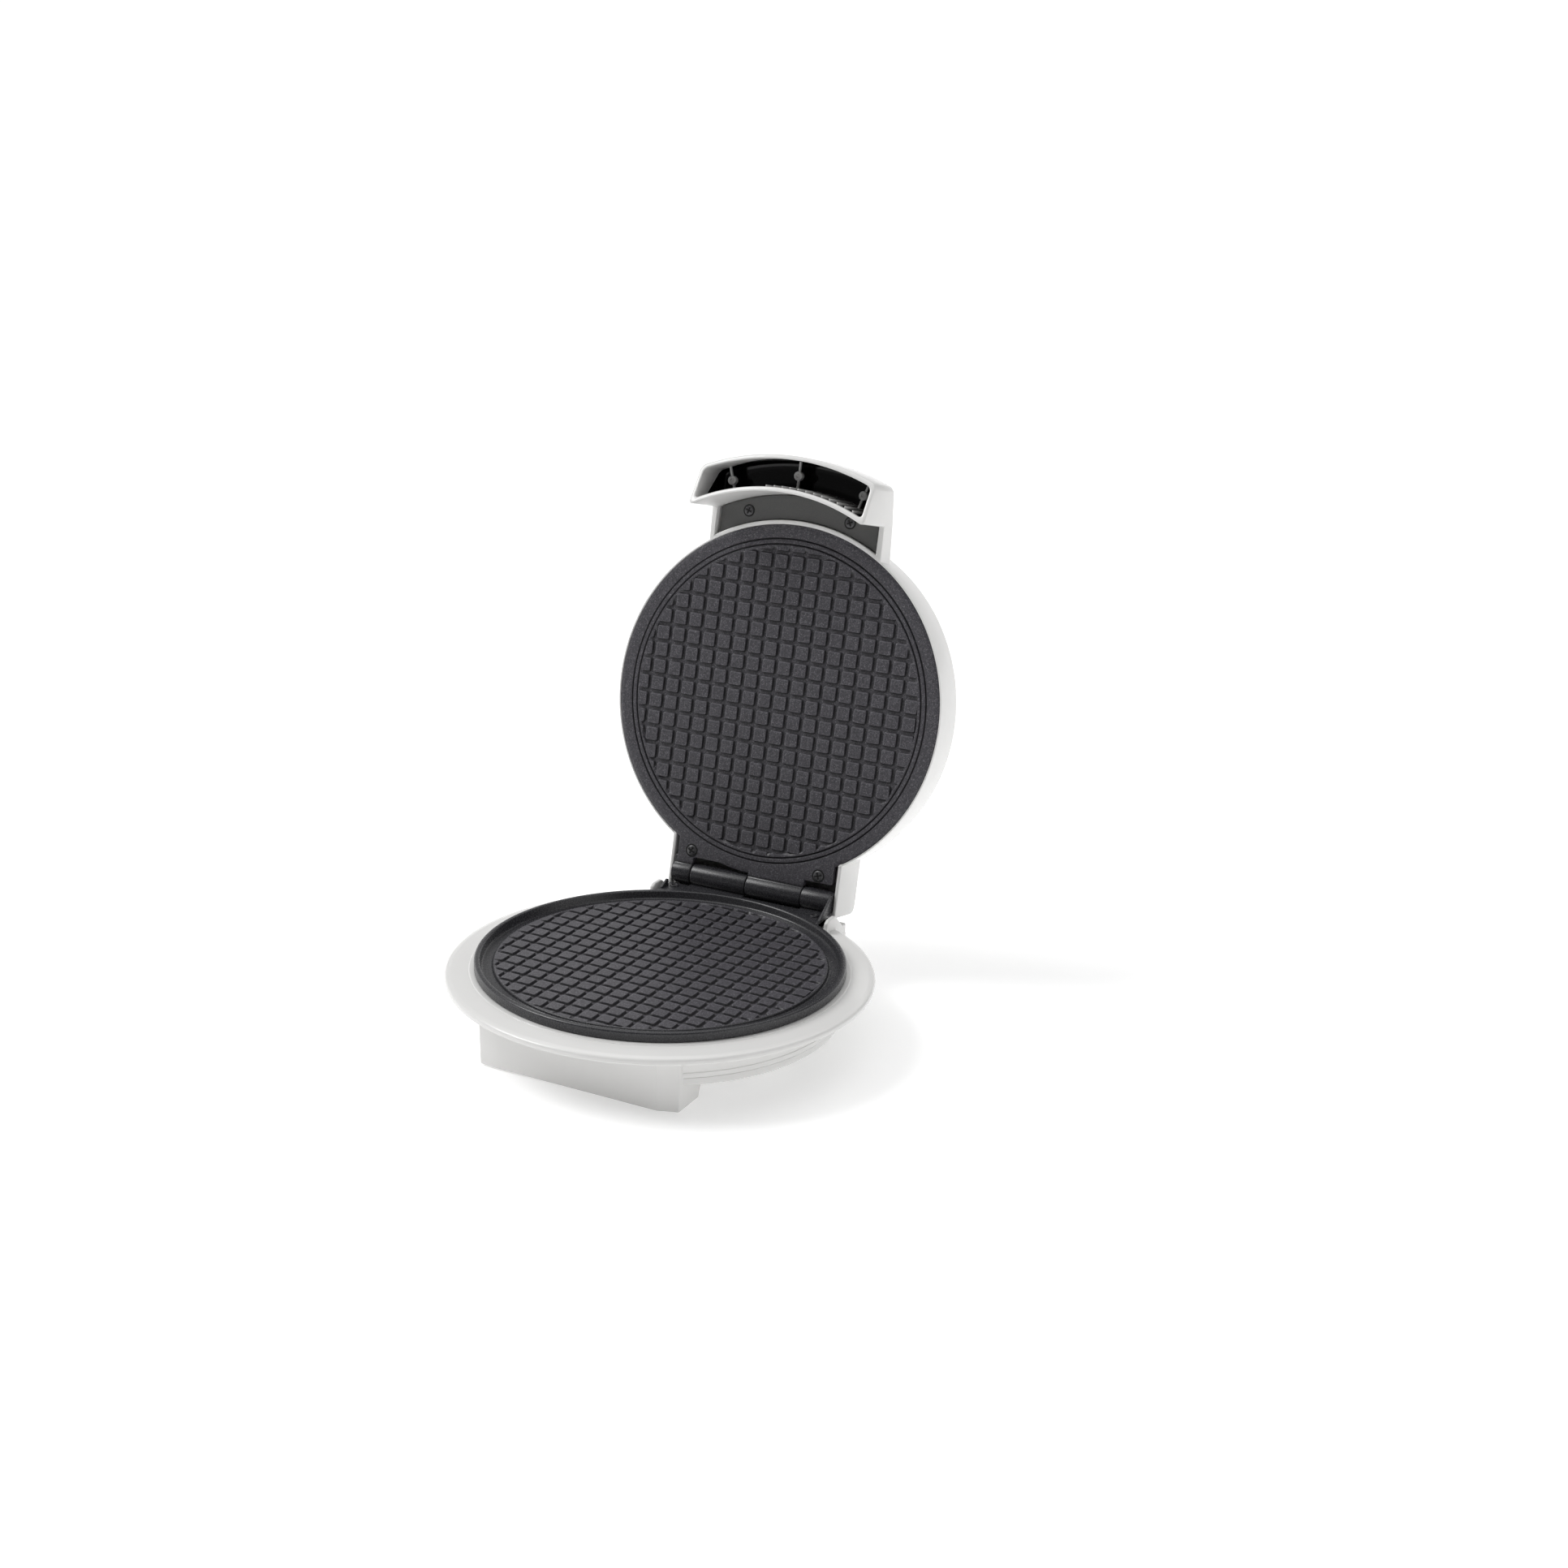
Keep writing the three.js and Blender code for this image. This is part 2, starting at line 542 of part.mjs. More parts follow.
function thermostatBody() {
  return turned([[0, -THERMOSTAT_H], [THERMOSTAT_R * 0.6, -THERMOSTAT_H], [THERMOSTAT_R * 0.6, -3],
    [THERMOSTAT_R, -3], [THERMOSTAT_R, -GAP], [0, -GAP]], 24);
}

function heaters(prefix, z, flip) {
  const group = new THREE.Group();
  const element = mesh(`${prefix}_heating_element`, elementRing(), darkSteel());
  const shield = mesh(`${prefix}_heat_shield`, shieldDish(), tinned());
  const thermostat = placed(mesh(`${prefix}_thermostat`, thermostatBody(), ceramic()), 14, 0, 0);
  group.add(element, shield, thermostat);
  group.position.z = z;
  if (flip) group.rotation.y = Math.PI;
  return group;
}

function thermalFuse() {
  const rest = new THREE.CylinderGeometry(2, 2, 14, 16);
  rest.rotateZ(Math.PI / 2);
  return placed(mesh('thermal_fuse', solid(rest), tinned()), 0, -22, PLATE_DEPTH + GAP + 2);
}

// ---------------------------------------------------------------- terminals, inlet, feet and screws of the base
function terminalBlock() {
  const y = REAR_END - WALL - 12;
  const body = without(box(-17, 17, y - 5, y + 5, FOOT_LIFT + WALL + GAP, FOOT_LIFT + WALL + 12),
    [-10, 0, 10].map((x) => post(x, y, 2, FOOT_LIFT + WALL + 5, FOOT_LIFT + WALL + 13, 16)));
  return mesh('terminal_block', body, ceramic());
}

function cordInlet() {
  const turn = (outline) => {
    const geometry = new THREE.LatheGeometry(
      [...outline, outline[0]].map(([r, y]) => new THREE.Vector2(r, y)), 24);
    geometry.translate(0, REAR_END, INLET_Z);
    return solid(geometry);
  };
  const inside = -WALL - GAP;
  const body = turn([
    [CORD_HOLE_R, inside - 2], [INLET_FLANGE_R, inside - 2], [INLET_FLANGE_R, inside],
    [INLET_R, inside], [INLET_R, GAP], [INLET_FLANGE_R, GAP],
    [INLET_FLANGE_R, 2], [INLET_R, 4], [CORD_HOLE_R, 4],
  ]);
  return mesh('cord_inlet', body, rubber());
}

function feet() {
  const names = ['front_left', 'front_right', 'rear_left', 'rear_right'];
  return padPlaces().map(([x, y], i) => mesh(`foot_pad_${names[i]}`, post(x, y, PAD_R, 0, PAD_THICK), rubber()));
}

function coverScrews() {
  const length = COVER_POST_TOP - COVER_SCREW_TOP - COVER_SCREW_Z - GAP - 0.1;
  return coverScrewPlaces().map(([x, y], i) => placed(
    mesh(`cover_screw_${i + 1}`, screw(COVER_HEAD_R, 1, length), steel()), x, y, COVER_SCREW_Z));
}

// ---------------------------------------------------------------- lid
function tail() {
  const outline = [
    [TAIL_START, GAP], [TAIL_END, GAP],
    ...arc(TAIL_END - TAIL_ROUND, SHELL_H - TAIL_ROUND, TAIL_ROUND, 0, 90, 5), [TAIL_START, SHELL_H],
  ];
  return sideways(outline, -TAIL_HALF, TAIL_HALF);
}

function handleShape() {
  const full = turned([
    [PLATE_R - 2, 0], [GRIP_IN, 0], [GRIP_IN, -GRIP_DROP_IN], [GRIP_IN + GRIP_WALL, -GRIP_DROP_IN],
    [GRIP_OUT - GRIP_WALL, -GRIP_DROP_OUT - 0.5], [GRIP_OUT, -GRIP_DROP_OUT],
    ...arc(GRIP_OUT - 4, GRIP_BACK_OUT - 4, 4, 0, 76, 4),
    [GRIP_IN, GRIP_BACK_IN], [PLATE_R - 2, GRIP_BACK_ROOT],
  ], 2 * ROUND_STEPS);
  const slab = box(-HANDLE_HALF, HANDLE_HALF, -2 * GRIP_OUT, -PLATE_R / 2, -2 * GRIP_DROP_IN, SHELL_H);
  return full.intersect(slab);
}

function ringSector(inner, outer, half, lowIn, lowOut, topIn, topOut) {
  const ring = turned([[inner, lowIn], [outer, lowOut], [outer, topOut], [inner, topIn]], 2 * ROUND_STEPS);
  return ring.intersect(box(-half, half, -2 * outer, -inner / 2, -3 * GRIP_DROP_IN, 2 * SHELL_H));
}

const onGripRing = (x) => [x, -Math.sqrt(((GRIP_IN + GRIP_OUT) / 2) ** 2 - x ** 2)];
const rootMid = () => (ROOT_IN + GRIP_IN) / 2;
const onRootRing = (x) => [x, -Math.sqrt(rootMid() ** 2 - x ** 2)];

function gripBoss(x) {
  const [bx, by] = onGripRing(x);
  const column = post(bx, by, BOSS_R, -BOSS_RECESS, GRIP_BACK_OUT, 20);
  const rib = new THREE.BoxGeometry(GRIP_SPAN - GRIP_WALL, RIB_W, GRIP_BACK_OUT - 1 + BOSS_RECESS - 1);
  rib.translate((GRIP_IN + GRIP_OUT) / 2, 0, (GRIP_BACK_OUT - BOSS_RECESS) / 2);
  rib.rotateZ(Math.atan2(by, bx));
  return column.add(solid(rib));
}

function upperHousing() {
  const topIn = SHELL_H - WALL;
  const wallIn = PLATE_R - PLATE_STEP + GAP;
  const ledge = PLATE_EDGE + GAP;
  const cup = turned([
    [0, topIn], [wallIn, topIn], [wallIn, ledge], [SHELL_IN, ledge], [SHELL_IN, GAP], [SHELL_R, GAP],
    ...arc(SHELL_R - SHELL_TAPER - SHELL_ROUND, SHELL_H - SHELL_ROUND, SHELL_ROUND, 0, 90, 4), [0, SHELL_H],
  ]);
  const inside = post(0, 0, wallIn, -1, topIn, ROUND_STEPS)
    .add(post(0, 0, SHELL_IN, -1, ledge, ROUND_STEPS));
  const handle = handleShape().subtract(inside);
  const tailIn = TAIL_HALF - TAIL_WALL;
  const tailCut = box(-tailIn, tailIn, TAIL_START, TAIL_END - TAIL_WALL, -1, topIn);
  const endCut = box(-tailIn, tailIn, HINGE_Y, TAIL_END + 1, -1, TAIL_END_FROM);
  const grip = ringSector(GRIP_IN + GRIP_WALL, GRIP_OUT - GRIP_WALL, HANDLE_HALF - GRIP_WALL,
    -2 * GRIP_DROP_IN, -2 * GRIP_DROP_IN, GRIP_BACK_IN - 1 - GRIP_WALL, GRIP_BACK_OUT - GRIP_WALL);
  const root = ringSector(ROOT_IN, GRIP_IN, HANDLE_HALF - GRIP_WALL, -5, -5,
    GRIP_BACK_ROOT - 1 - GRIP_WALL, GRIP_BACK_IN - GRIP_WALL);
  const lampHoles = mirrored((s) => post(...onRootRing(s * LAMP_X), LAMP_R + GAP, GAP, 2 * GRIP_BACK_ROOT));
  const shell = without(union([cup, tail().subtract(inside), handle]),
    [tailCut, endCut, grip, root, ...lampHoles]);
  const posts = mirrored((s) => post(...onRootRing(s * INSERT_SCREW_X), POST_R,
    INSERT_SET_BACK + INSERT_THICK + GAP, GRIP_BACK_IN - 1));
  const plateRoom = post(0, 0, wallIn, 0, PLATE_DEPTH + GAP, ROUND_STEPS);
  const lugPosts = mirrored((s) => post(s * LUG_SCREW.x, lugScrewY(), POST_R, LUG_DEEP + GAP, topIn + 1)
    .subtract(plateRoom));
  const bosses = [-BOSS_X, 0, BOSS_X].map(gripBoss);
  const pilots = mirrored((s) => post(...onRootRing(s * INSERT_SCREW_X), SHANK_R + GAP, 0, GRIP_BACK_IN - 3, 16))
    .concat(mirrored((s) => post(s * LUG_SCREW.x, lugScrewY(), SHANK_R + GAP, 0, LUG_DEEP + 12, 16)));
  const body = without(union([shell, ...posts, ...lugPosts, ...bosses]), pilots);
  return mesh('upper_housing', body, whiteCasing());
}

const lugScrewY = () => HINGE_Y - LUG_SCREW.inset;

function upperKnuckle(from, to) {
  const edge = HINGE_Y - LUG_EDGE;
  const web = sideways([
    [edge - 3, 0], [edge + 1, 0], [HINGE_Y, AXIS_ABOVE_FACE - BARREL_R + 0.6],
    [HINGE_Y, AXIS_ABOVE_FACE + BARREL_R - 0.6], [edge - 3, LUG_DEEP],
  ], from, to);
  return barrel(from, to, AXIS_ABOVE_FACE).add(web);
}

function upperPlate() {
  const step = PLATE_R - PLATE_STEP;
  const disc = turned([
    [0, 0], [PLATE_R, 0], [PLATE_R, PLATE_EDGE], [step, PLATE_EDGE], [step, PLATE_DEPTH], [0, PLATE_DEPTH],
  ]);
  const [start, a, b, c] = KNUCKLE_ENDS;
  const half = GAP / 2;
  const edge = HINGE_Y - LUG_EDGE;
  const notchY = HINGE_Y - NOTCH_EDGE;
  const lug = box(-LUG_HALF, LUG_HALF, PLATE_R / 2, edge, 0, LUG_DEEP);
  const headR = LUG_SCREW.head + GAP;
  const cuts = [
    box(a - half, b + half, notchY, edge + 1, -1, LUG_DEEP + 1),
    box(c - half, LUG_HALF + 1, notchY, edge + 1, -1, LUG_DEEP + 1),
    ...mirrored((s) => post(s * LUG_SCREW.x, lugScrewY(), headR, -1, 1.6, 24)),
    ...mirrored((s) => post(s * LUG_SCREW.x, lugScrewY(), SHANK_R + GAP, -1, LUG_DEEP + 1, 16)),
    axle(HINGE_Y, AXIS_ABOVE_FACE, PIN_R + PIN_CLEAR, -BARREL_HALF - 1, BARREL_HALF + 1, 24),
  ];
  const knuckles = [upperKnuckle(start, a - half), upperKnuckle(b + half, c - half)];
  return mesh('upper_plate', without(union([disc, lug, ...knuckles]), cuts), nonStick());
}

function handleInsert() {
  const front = INSERT_SET_BACK;
  const back = front + INSERT_THICK;
  const plate = ringSector(ROOT_IN + GAP, GRIP_IN - GAP, INSERT_HALF, front, front, back, back);
  const holes = mirrored((s) => post(...onRootRing(s * INSERT_SCREW_X), SHANK_R + GAP, front - 1, back + 1, 16));
  const wells = mirrored((s) => post(...onRootRing(s * INSERT_SCREW_X), SMALL_HEAD_R + GAP, 0, front + 1.2, 24));
  return mesh('handle_insert', without(plate, [...holes, ...wells]), darkInsert());
}

function lidScrews() {
  const lug = mirrored((s) => placed(
    mesh(`lug_screw_${s < 0 ? 'left' : 'right'}`, screw(LUG_SCREW.head, 1.2, 12), darkSteel()),
    s * LUG_SCREW.x, lugScrewY(), 1.6 - GAP));
  const insert = mirrored((s) => placed(
    mesh(`insert_screw_${s < 0 ? 'left' : 'right'}`, screw(SMALL_HEAD_R, 0.8, 7), darkSteel()),
    ...onRootRing(s * INSERT_SCREW_X), INSERT_SET_BACK + 1.2 - GAP));
  return [...lug, ...insert];
}

function lamp(name, s, color) {
  const top = GRIP_BACK_ROOT - 1;
  const lens = turned([[0, INSERT_SET_BACK + INSERT_THICK + 2], [LAMP_R, INSERT_SET_BACK + INSERT_THICK + 2],
    [LAMP_R, top - 1], [LAMP_R * 0.6, top], [0, top]], 20);
  const material = plastic(color, 0.2);
  const [x, y] = onRootRing(s * LAMP_X);
  return placed(mesh(name, lens, material), x, y, 0);
}

// ---------------------------------------------------------------- assembly
function base() {
  const group = new THREE.Group();
  group.add(lowerHousing(), bottomCover(), lowerPlate(), hingePin(), heaters('lower', RIM_Z - PAN_DEPTH, false),
    terminalBlock(), cordInlet(), ...feet(), ...coverScrews());
  return group;
}

function lid() {
  const parts = new THREE.Group();
  parts.add(upperHousing(), upperPlate(), handleInsert(), heaters('upper', PLATE_DEPTH, true), thermalFuse(),
    ...lidScrews(), lamp('power_lamp', -1, 0xb3261e), lamp('ready_lamp', 1, 0x2e8b3d));
  parts.position.set(0, -HINGE_Y, -AXIS_ABOVE_FACE);
  const swing = new THREE.Group();
  swing.add(parts);
  swing.position.set(0, HINGE_Y, HINGE_Z);
  swing.rotation.x = -OPEN;
  return swing;
}

const group = new THREE.Group();
group.add(base(), lid());
const extent = new THREE.Box3().setFromObject(group, true);
group.position.y = -(extent.min.y + extent.max.y) / 2;

export default group;
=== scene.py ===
# Open waffle cone maker: a white moulded base with a dark non-stick plate, and a hinged lid that
# carries the second plate and a hollow hood handle. Sizes below are millimetres; what goes into a
# mesh is metres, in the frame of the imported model.
import math
import bmesh
import bpy
import numpy as np
from mathutils import Matrix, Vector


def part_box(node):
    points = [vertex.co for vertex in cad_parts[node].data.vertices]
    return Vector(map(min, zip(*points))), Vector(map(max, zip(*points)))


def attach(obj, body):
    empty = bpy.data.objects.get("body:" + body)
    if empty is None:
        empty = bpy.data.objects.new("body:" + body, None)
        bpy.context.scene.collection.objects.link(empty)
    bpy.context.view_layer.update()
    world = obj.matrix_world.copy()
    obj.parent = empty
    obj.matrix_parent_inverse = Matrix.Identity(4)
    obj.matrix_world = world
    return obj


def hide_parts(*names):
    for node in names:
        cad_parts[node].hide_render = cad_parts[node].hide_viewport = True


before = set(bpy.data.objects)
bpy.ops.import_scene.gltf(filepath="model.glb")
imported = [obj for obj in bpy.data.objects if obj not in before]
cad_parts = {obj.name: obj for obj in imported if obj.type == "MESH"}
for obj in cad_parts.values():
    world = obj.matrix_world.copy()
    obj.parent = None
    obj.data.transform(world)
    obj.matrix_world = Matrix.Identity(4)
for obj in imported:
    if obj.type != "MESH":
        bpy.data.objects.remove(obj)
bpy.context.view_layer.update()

# ------------------------------------------------------------------ where the two halves are
# The base and the lid turn about one steel rod behind the plates. Base shapes are drawn about the
# lower plate's axis with z above the floor. Lid shapes are drawn shut, with z = 0 on the lid's
# cooking face, and swung open about the rod.
PIN_LOW, PIN_HIGH = (np.array(c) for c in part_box("hinge_pin"))
ROD_Y = 108.4                          # rod behind the plates' axis
ROD_RISE = 3.85                        # rod above the lid's cooking face
RIM = 43.5                             # lower plate's rim above the floor
LEAN = math.radians(101.6)             # how far the lid is swung open
rod = (PIN_LOW + PIN_HIGH) / 2 * 1000


def on_base(p):
    """Base millimetres to metres: y is moved so that the rod falls on the model's rod."""
    return (p + [0, rod[1] - ROD_Y, 0]) / 1000


def on_lid(p):
    """Lid millimetres to metres: turned back about the rod by LEAN, then placed on it."""
    y = p[..., 1] - ROD_Y
    z = p[..., 2] - ROD_RISE
    c, s = math.cos(LEAN), math.sin(LEAN)
    swung = np.stack([p[..., 0], y * c + z * s, z * c - y * s], axis=-1)
    return (swung + [0, rod[1], rod[2]]) / 1000


# ------------------------------------------------------------------ camera, floor and light
# A camera in front of the machine and to its right, looking down on a plain white floor. The sky is
# brightest low down behind the machine and dimmer in front and on the right. Three soft suns add a
# wash from overhead, a key from the upper left and a weak fill from the right.
CAMERA_AT = np.array([497.1, -891.0, RIM + 424.7])
camera_data = bpy.data.cameras.new("camera")
camera_data.lens = 47.14
camera_data.sensor_width = 36.0
camera = bpy.data.objects.new("camera", camera_data)
bpy.context.collection.objects.link(camera)
right = np.array([0.8957, 0.4432, 0.0360])
look = np.array([-0.4125, 0.8584, -0.3050])
look /= np.linalg.norm(look)
right -= look * right.dot(look)
right /= np.linalg.norm(right)
above = np.cross(right, look)
turn = Matrix([[right[i], above[i], -look[i]] for i in range(3)]).to_4x4()
camera.matrix_world = Matrix.Translation(on_base(CAMERA_AT)) @ turn
bpy.context.scene.camera = camera


class Value:
    """One number socket of a shader: arithmetic on it adds Math nodes to its tree."""

    def __init__(self, tree, socket):
        self.tree = tree
        self.socket = socket

    def math(self, operation, *others):
        node = self.tree.nodes.new("ShaderNodeMath")
        node.operation = operation
        for slot, value in zip(node.inputs, (self, *others)):
            if isinstance(value, Value):
                self.tree.links.new(value.socket, slot)
            else:
                slot.default_value = value
        return Value(self.tree, node.outputs[0])

    def __add__(self, other): return self.math("ADD", other)
    def __radd__(self, other): return self.math("ADD", other)
    def __sub__(self, other): return self.math("SUBTRACT", other)
    def __rsub__(self, other): return self * -1.0 + other
    def __mul__(self, other): return self.math("MULTIPLY", other)
    def __rmul__(self, other): return self.math("MULTIPLY", other)
    def clipped(self): return self.math("MINIMUM", 1.0).math("MAXIMUM", 0.0)
    def over(self, low, high): return ((self - low) * (1.0 / (high - low))).clipped()


class Nodes:
    """The node tree of a material or of the sky."""

    def __init__(self, tree):
        self.tree = tree

    def node(self, kind, settings=None, sockets=None):
        """Adds a node of any type, sets it up, then fills or links its sockets."""
        made = self.tree.nodes.new(kind)
        for key, value in (settings or {}).items():
            setattr(made, key, value)
        for key, value in (sockets or {}).items():
            if isinstance(value, Value):
                self.tree.links.new(value.socket, made.inputs[key])
            elif isinstance(value, bpy.types.NodeSocket):
                self.tree.links.new(value, made.inputs[key])
            else:
                made.inputs[key].default_value = value
        return made

    def value(self, made, output=0):
        """One output of a node, as a number to reckon with."""
        return Value(self.tree, made.outputs[output])


class Finish(Nodes):
    """A material whose Principled shader is fed by nodes; positions are in millimetres."""

    def __init__(self, name, **settings):
        self.material = bpy.data.materials.new(name)
        self.material.use_nodes = True
        super().__init__(self.material.node_tree)
        self.shader = self.tree.nodes["Principled BSDF"]
        for socket, value in settings.items():
            self.shader.inputs[socket.replace("_", " ")].default_value = value
        coords = self.node("ShaderNodeTexCoord")
        scale = self.node("ShaderNodeVectorMath", {"operation": "SCALE"},
                          {0: coords.outputs["Object"], "Scale": 1000.0})
        self.place = scale.outputs[0]

    def noise(self, size, detail=2.0, rough=0.5):
        """Noise whose features are about size millimetres across."""
        return self.value(self.node("ShaderNodeTexNoise", {}, {
            "Vector": self.place, "Scale": 1.0 / size, "Detail": detail, "Roughness": rough}))

    def cells(self, size):
        """A random number for each cell of about size millimetres."""
        made = self.node("ShaderNodeTexVoronoi", {}, {"Vector": self.place, "Scale": 1.0 / size})
        return self.value(self.node("ShaderNodeSeparateColor", {}, {0: made.outputs["Color"]}))

    def layer(self, name):
        """A number stored at each vertex of the piece."""
        return self.value(self.node("ShaderNodeAttribute", {"attribute_name": name}), "Fac")

    def mix(self, factor, first, second):
        """A colour between two: each is a socket or an (r, g, b)."""
        full = lambda c: (*c, 1.0) if isinstance(c, tuple) else c
        made = self.node("ShaderNodeMix", {"data_type": "RGBA"},
                         {0: factor, 6: full(first), 7: full(second)})
        return made.outputs[2]

    def feed(self, socket, source):
        self.tree.links.new(source, self.shader.inputs[socket])

    def done(self, paint, roughness, height, depth):
        """The material, with its colour, its roughness, and relief: a height of 0 to 1 stands for
        depth millimetres."""
        relief = self.node("ShaderNodeBump", {}, {"Height": height, "Distance": depth / 1000,
                                                  "Strength": 1.0})
        self.feed("Base Color", paint)
        self.feed("Roughness", roughness.socket)
        self.feed("Normal", relief.outputs[0])
        return self.material


WHITE = (1.0, 1.0, 1.0, 1.0)
floor_finish = Finish("studio_floor", Roughness=0.7, Emission_Color=WHITE, Emission_Strength=0.28)
floor_finish.feed("Base Color", floor_finish.mix(floor_finish.noise(60.0), (0.96, 0.96, 0.96),
                                                 (0.98, 0.98, 0.98)))
floor_mesh = bpy.data.meshes.new("floor")
floor_mesh.from_pydata([(-6, -6, 0), (6, -6, 0), (6, 9, 0), (-6, 9, 0)], [], [(0, 1, 2, 3)])
floor = bpy.data.objects.new("floor", floor_mesh)
floor.data.materials.append(floor_finish.material)
bpy.context.collection.objects.link(floor)

bpy.context.scene.view_settings.view_transform = "Standard"
world = bpy.data.worlds.new("studio")
bpy.context.scene.world = world
world.use_nodes = True
sky = Nodes(world.node_tree)
direction = sky.node("ShaderNodeSeparateXYZ", {},
                     {0: sky.node("ShaderNodeTexCoord").outputs["Generated"]})
upward = sky.value(direction, 2).over(0.10, 0.34)
behind = sky.value(direction, 1).over(-0.75, 0.05)
rightward = sky.value(direction, 0).over(0.05, 0.55)
glow = (1.10 - upward * 0.75) * (behind * 0.80 + 0.20) * (1.0 - rightward * 0.6)
seen = sky.value(sky.node("ShaderNodeLightPath"), "Is Camera Ray")
backdrop = world.node_tree.nodes["Background"]
backdrop.inputs["Color"].default_value = WHITE
world.node_tree.links.new((glow * (1.0 - seen) + seen * 1.05).socket, backdrop.inputs["Strength"])


def sunlight(name, from_direction, spread, strength):
    """A very soft sun: parallel light from one side, spread over a wide disc of sky."""
    data = bpy.data.lights.new(name, "SUN")
    data.energy = strength
    data.angle = math.radians(spread)
    light = bpy.data.objects.new(name, data)
    bpy.context.collection.objects.link(light)
    back = np.array(from_direction, float)
    back /= np.linalg.norm(back)
    side = np.cross([0.1, 1, 0.2], back)
    side /= np.linalg.norm(side)
    up = np.cross(back, side)
    light.matrix_world = Matrix([[side[i], up[i], back[i]] for i in range(3)]).to_4x4()


sunlight("overhead", (-0.1, 0.15, 1.0), 80, 1.25)
sunlight("upper_left", (-0.66, -0.28, 0.72), 28, 1.4)
sunlight("right_side", (1.0, -0.05, 0.38), 50, 0.42)


# ------------------------------------------------------------------ lower cooking plate
# One aluminium casting with a dark non-stick coating: a raised rim, a gutter that catches batter,
# the gridded face, and a lug at the rear that ends in two hinge knuckles.
def filleted(corners, radii, steps=5, shut=True):
    """The corner points of an outline, each replaced by an arc tangent to both sides there."""
    points = np.array(corners, float)
    radii = np.broadcast_to(np.array(radii, float), len(points))
    before = np.roll(points, 1, axis=0) - points
    after = np.roll(points, -1, axis=0) - points
    len_a = np.linalg.norm(before, axis=1)
    len_b = np.linalg.norm(after, axis=1)
    a = before / np.maximum(len_a, 1e-9)[:, None]
    b = after / np.maximum(len_b, 1e-9)[:, None]
    half = np.arccos(np.clip((a * b).sum(1), -1, 1)) / 2
    reach = np.minimum(radii / np.maximum(np.tan(half), 1e-6), 0.49 * np.minimum(len_a, len_b))
    if not shut:
        reach[[0, -1]] = 0
    r = reach * np.tan(half)
    start, end = points + a * reach[:, None], points + b * reach[:, None]
    middle = points + (a + b) / np.maximum(np.linalg.norm(a + b, axis=1), 1e-9)[:, None] * (
        r / np.maximum(np.sin(half), 1e-6))[:, None]
    t = np.linspace(0, 1, steps + 1)[None, :, None]
    u, v = start - middle, end - middle
    span = math.pi - 2 * half[:, None, None]
    flat = np.sin(span) < 1e-6
    safe = np.where(flat, 1.0, np.sin(span))
    arc = (np.sin((1 - t) * span) * u[:, None] + np.sin(t * span) * v[:, None]) / safe
    line = start[:, None] + (end - start)[:, None] * t
    return np.where(flat, line, middle[:, None] + arc).reshape(-1, 2)


def turned(outline, steps=256, first=0.0, last=360.0):
    """(radius, z) outline carried round the z axis between two angles, 0 being +X."""
    full = last - first >= 360
    angle = np.radians(np.linspace(first, last, steps + 1)[: steps if full else None])
    r, z = outline[:, 0], outline[:, 1]
    grid = np.stack([np.cos(angle)[:, None] * r, np.sin(angle)[:, None] * r,
                     np.broadcast_to(z, (len(angle), len(z)))], axis=-1)
    return grid, full


def axled(outline, steps=64):
    """(x, radius) outline carried round the x axis, as barrels are round the hinge rod."""
    angle = np.radians(np.linspace(0, 360, steps + 1)[:steps])
    x, r = outline[:, 0], outline[:, 1]
    return np.stack([np.broadcast_to(x, (steps, len(x))), np.cos(angle)[:, None] * r,
                     np.sin(angle)[:, None] * r], axis=-1)


def woven(grid, across, along, ends=False):
    """Vertices and quads of a (rows, columns) grid; across and along say which way it closes."""
    rows, cols = grid.shape[:2]
    index = np.arange(rows * cols).reshape(rows, cols)
    i = index if across else index[:-1]
    down = np.roll(index, -1, axis=0) if across else index[1:]
    if along:
        quads = np.stack([i, np.roll(i, -1, 1), np.roll(down, -1, 1), down], -1)
    else:
        quads = np.stack([i[:, :-1], i[:, 1:], down[:, 1:], down[:, :-1]], -1)
    faces = quads.reshape(-1, 4).tolist()
    if ends:
        faces += [index[0][::-1].tolist(), index[-1].tolist()]
    return grid.reshape(-1, 3), faces


def ring_solid(outline, **arcs):
    """A shut (radius, z) outline turned about z, with flat ends where it stops short."""
    grid, full = turned(outline, **arcs)
    return woven(grid, full, True, ends=not full)


def disc_solid(outline, **arcs):
    """An outline that starts and ends on the axis, turned right round."""
    grid, full = turned(outline, **arcs)
    return woven(grid, full, False)


def lofted(loops):
    """Shut loops of as many points each, skinned in order, with flat faces on both ends."""
    return woven(np.array(loops), False, True, ends=True)


def slab(plan, low, high, edge_low, edge_high, fillet, steps=4):
    """A plan outline raised from low to high; edges rounded by drawing its loops in."""
    plan = np.array(plan, float)
    loops = []
    for z, inset in rounding(low, high, edge_low, edge_high, steps):
        outline = filleted(drawn_in(plan, inset), np.maximum(fillet - inset, 0.05))
        loops.append(np.column_stack([outline, np.full(len(outline), z)]))
    return lofted(loops)


def rounding(low, high, edge_low, edge_high, steps=4):
    """Heights and insets of loops that turn a quarter circle at each end."""
    t = np.linspace(0, math.pi / 2, steps + 1)
    start = [(low + edge_low * (1 - math.sin(a)), edge_low * (1 - math.cos(a))) for a in t[::-1]]
    end = [(high - edge_high * (1 - math.sin(a)), edge_high * (1 - math.cos(a))) for a in t]
    return start + end


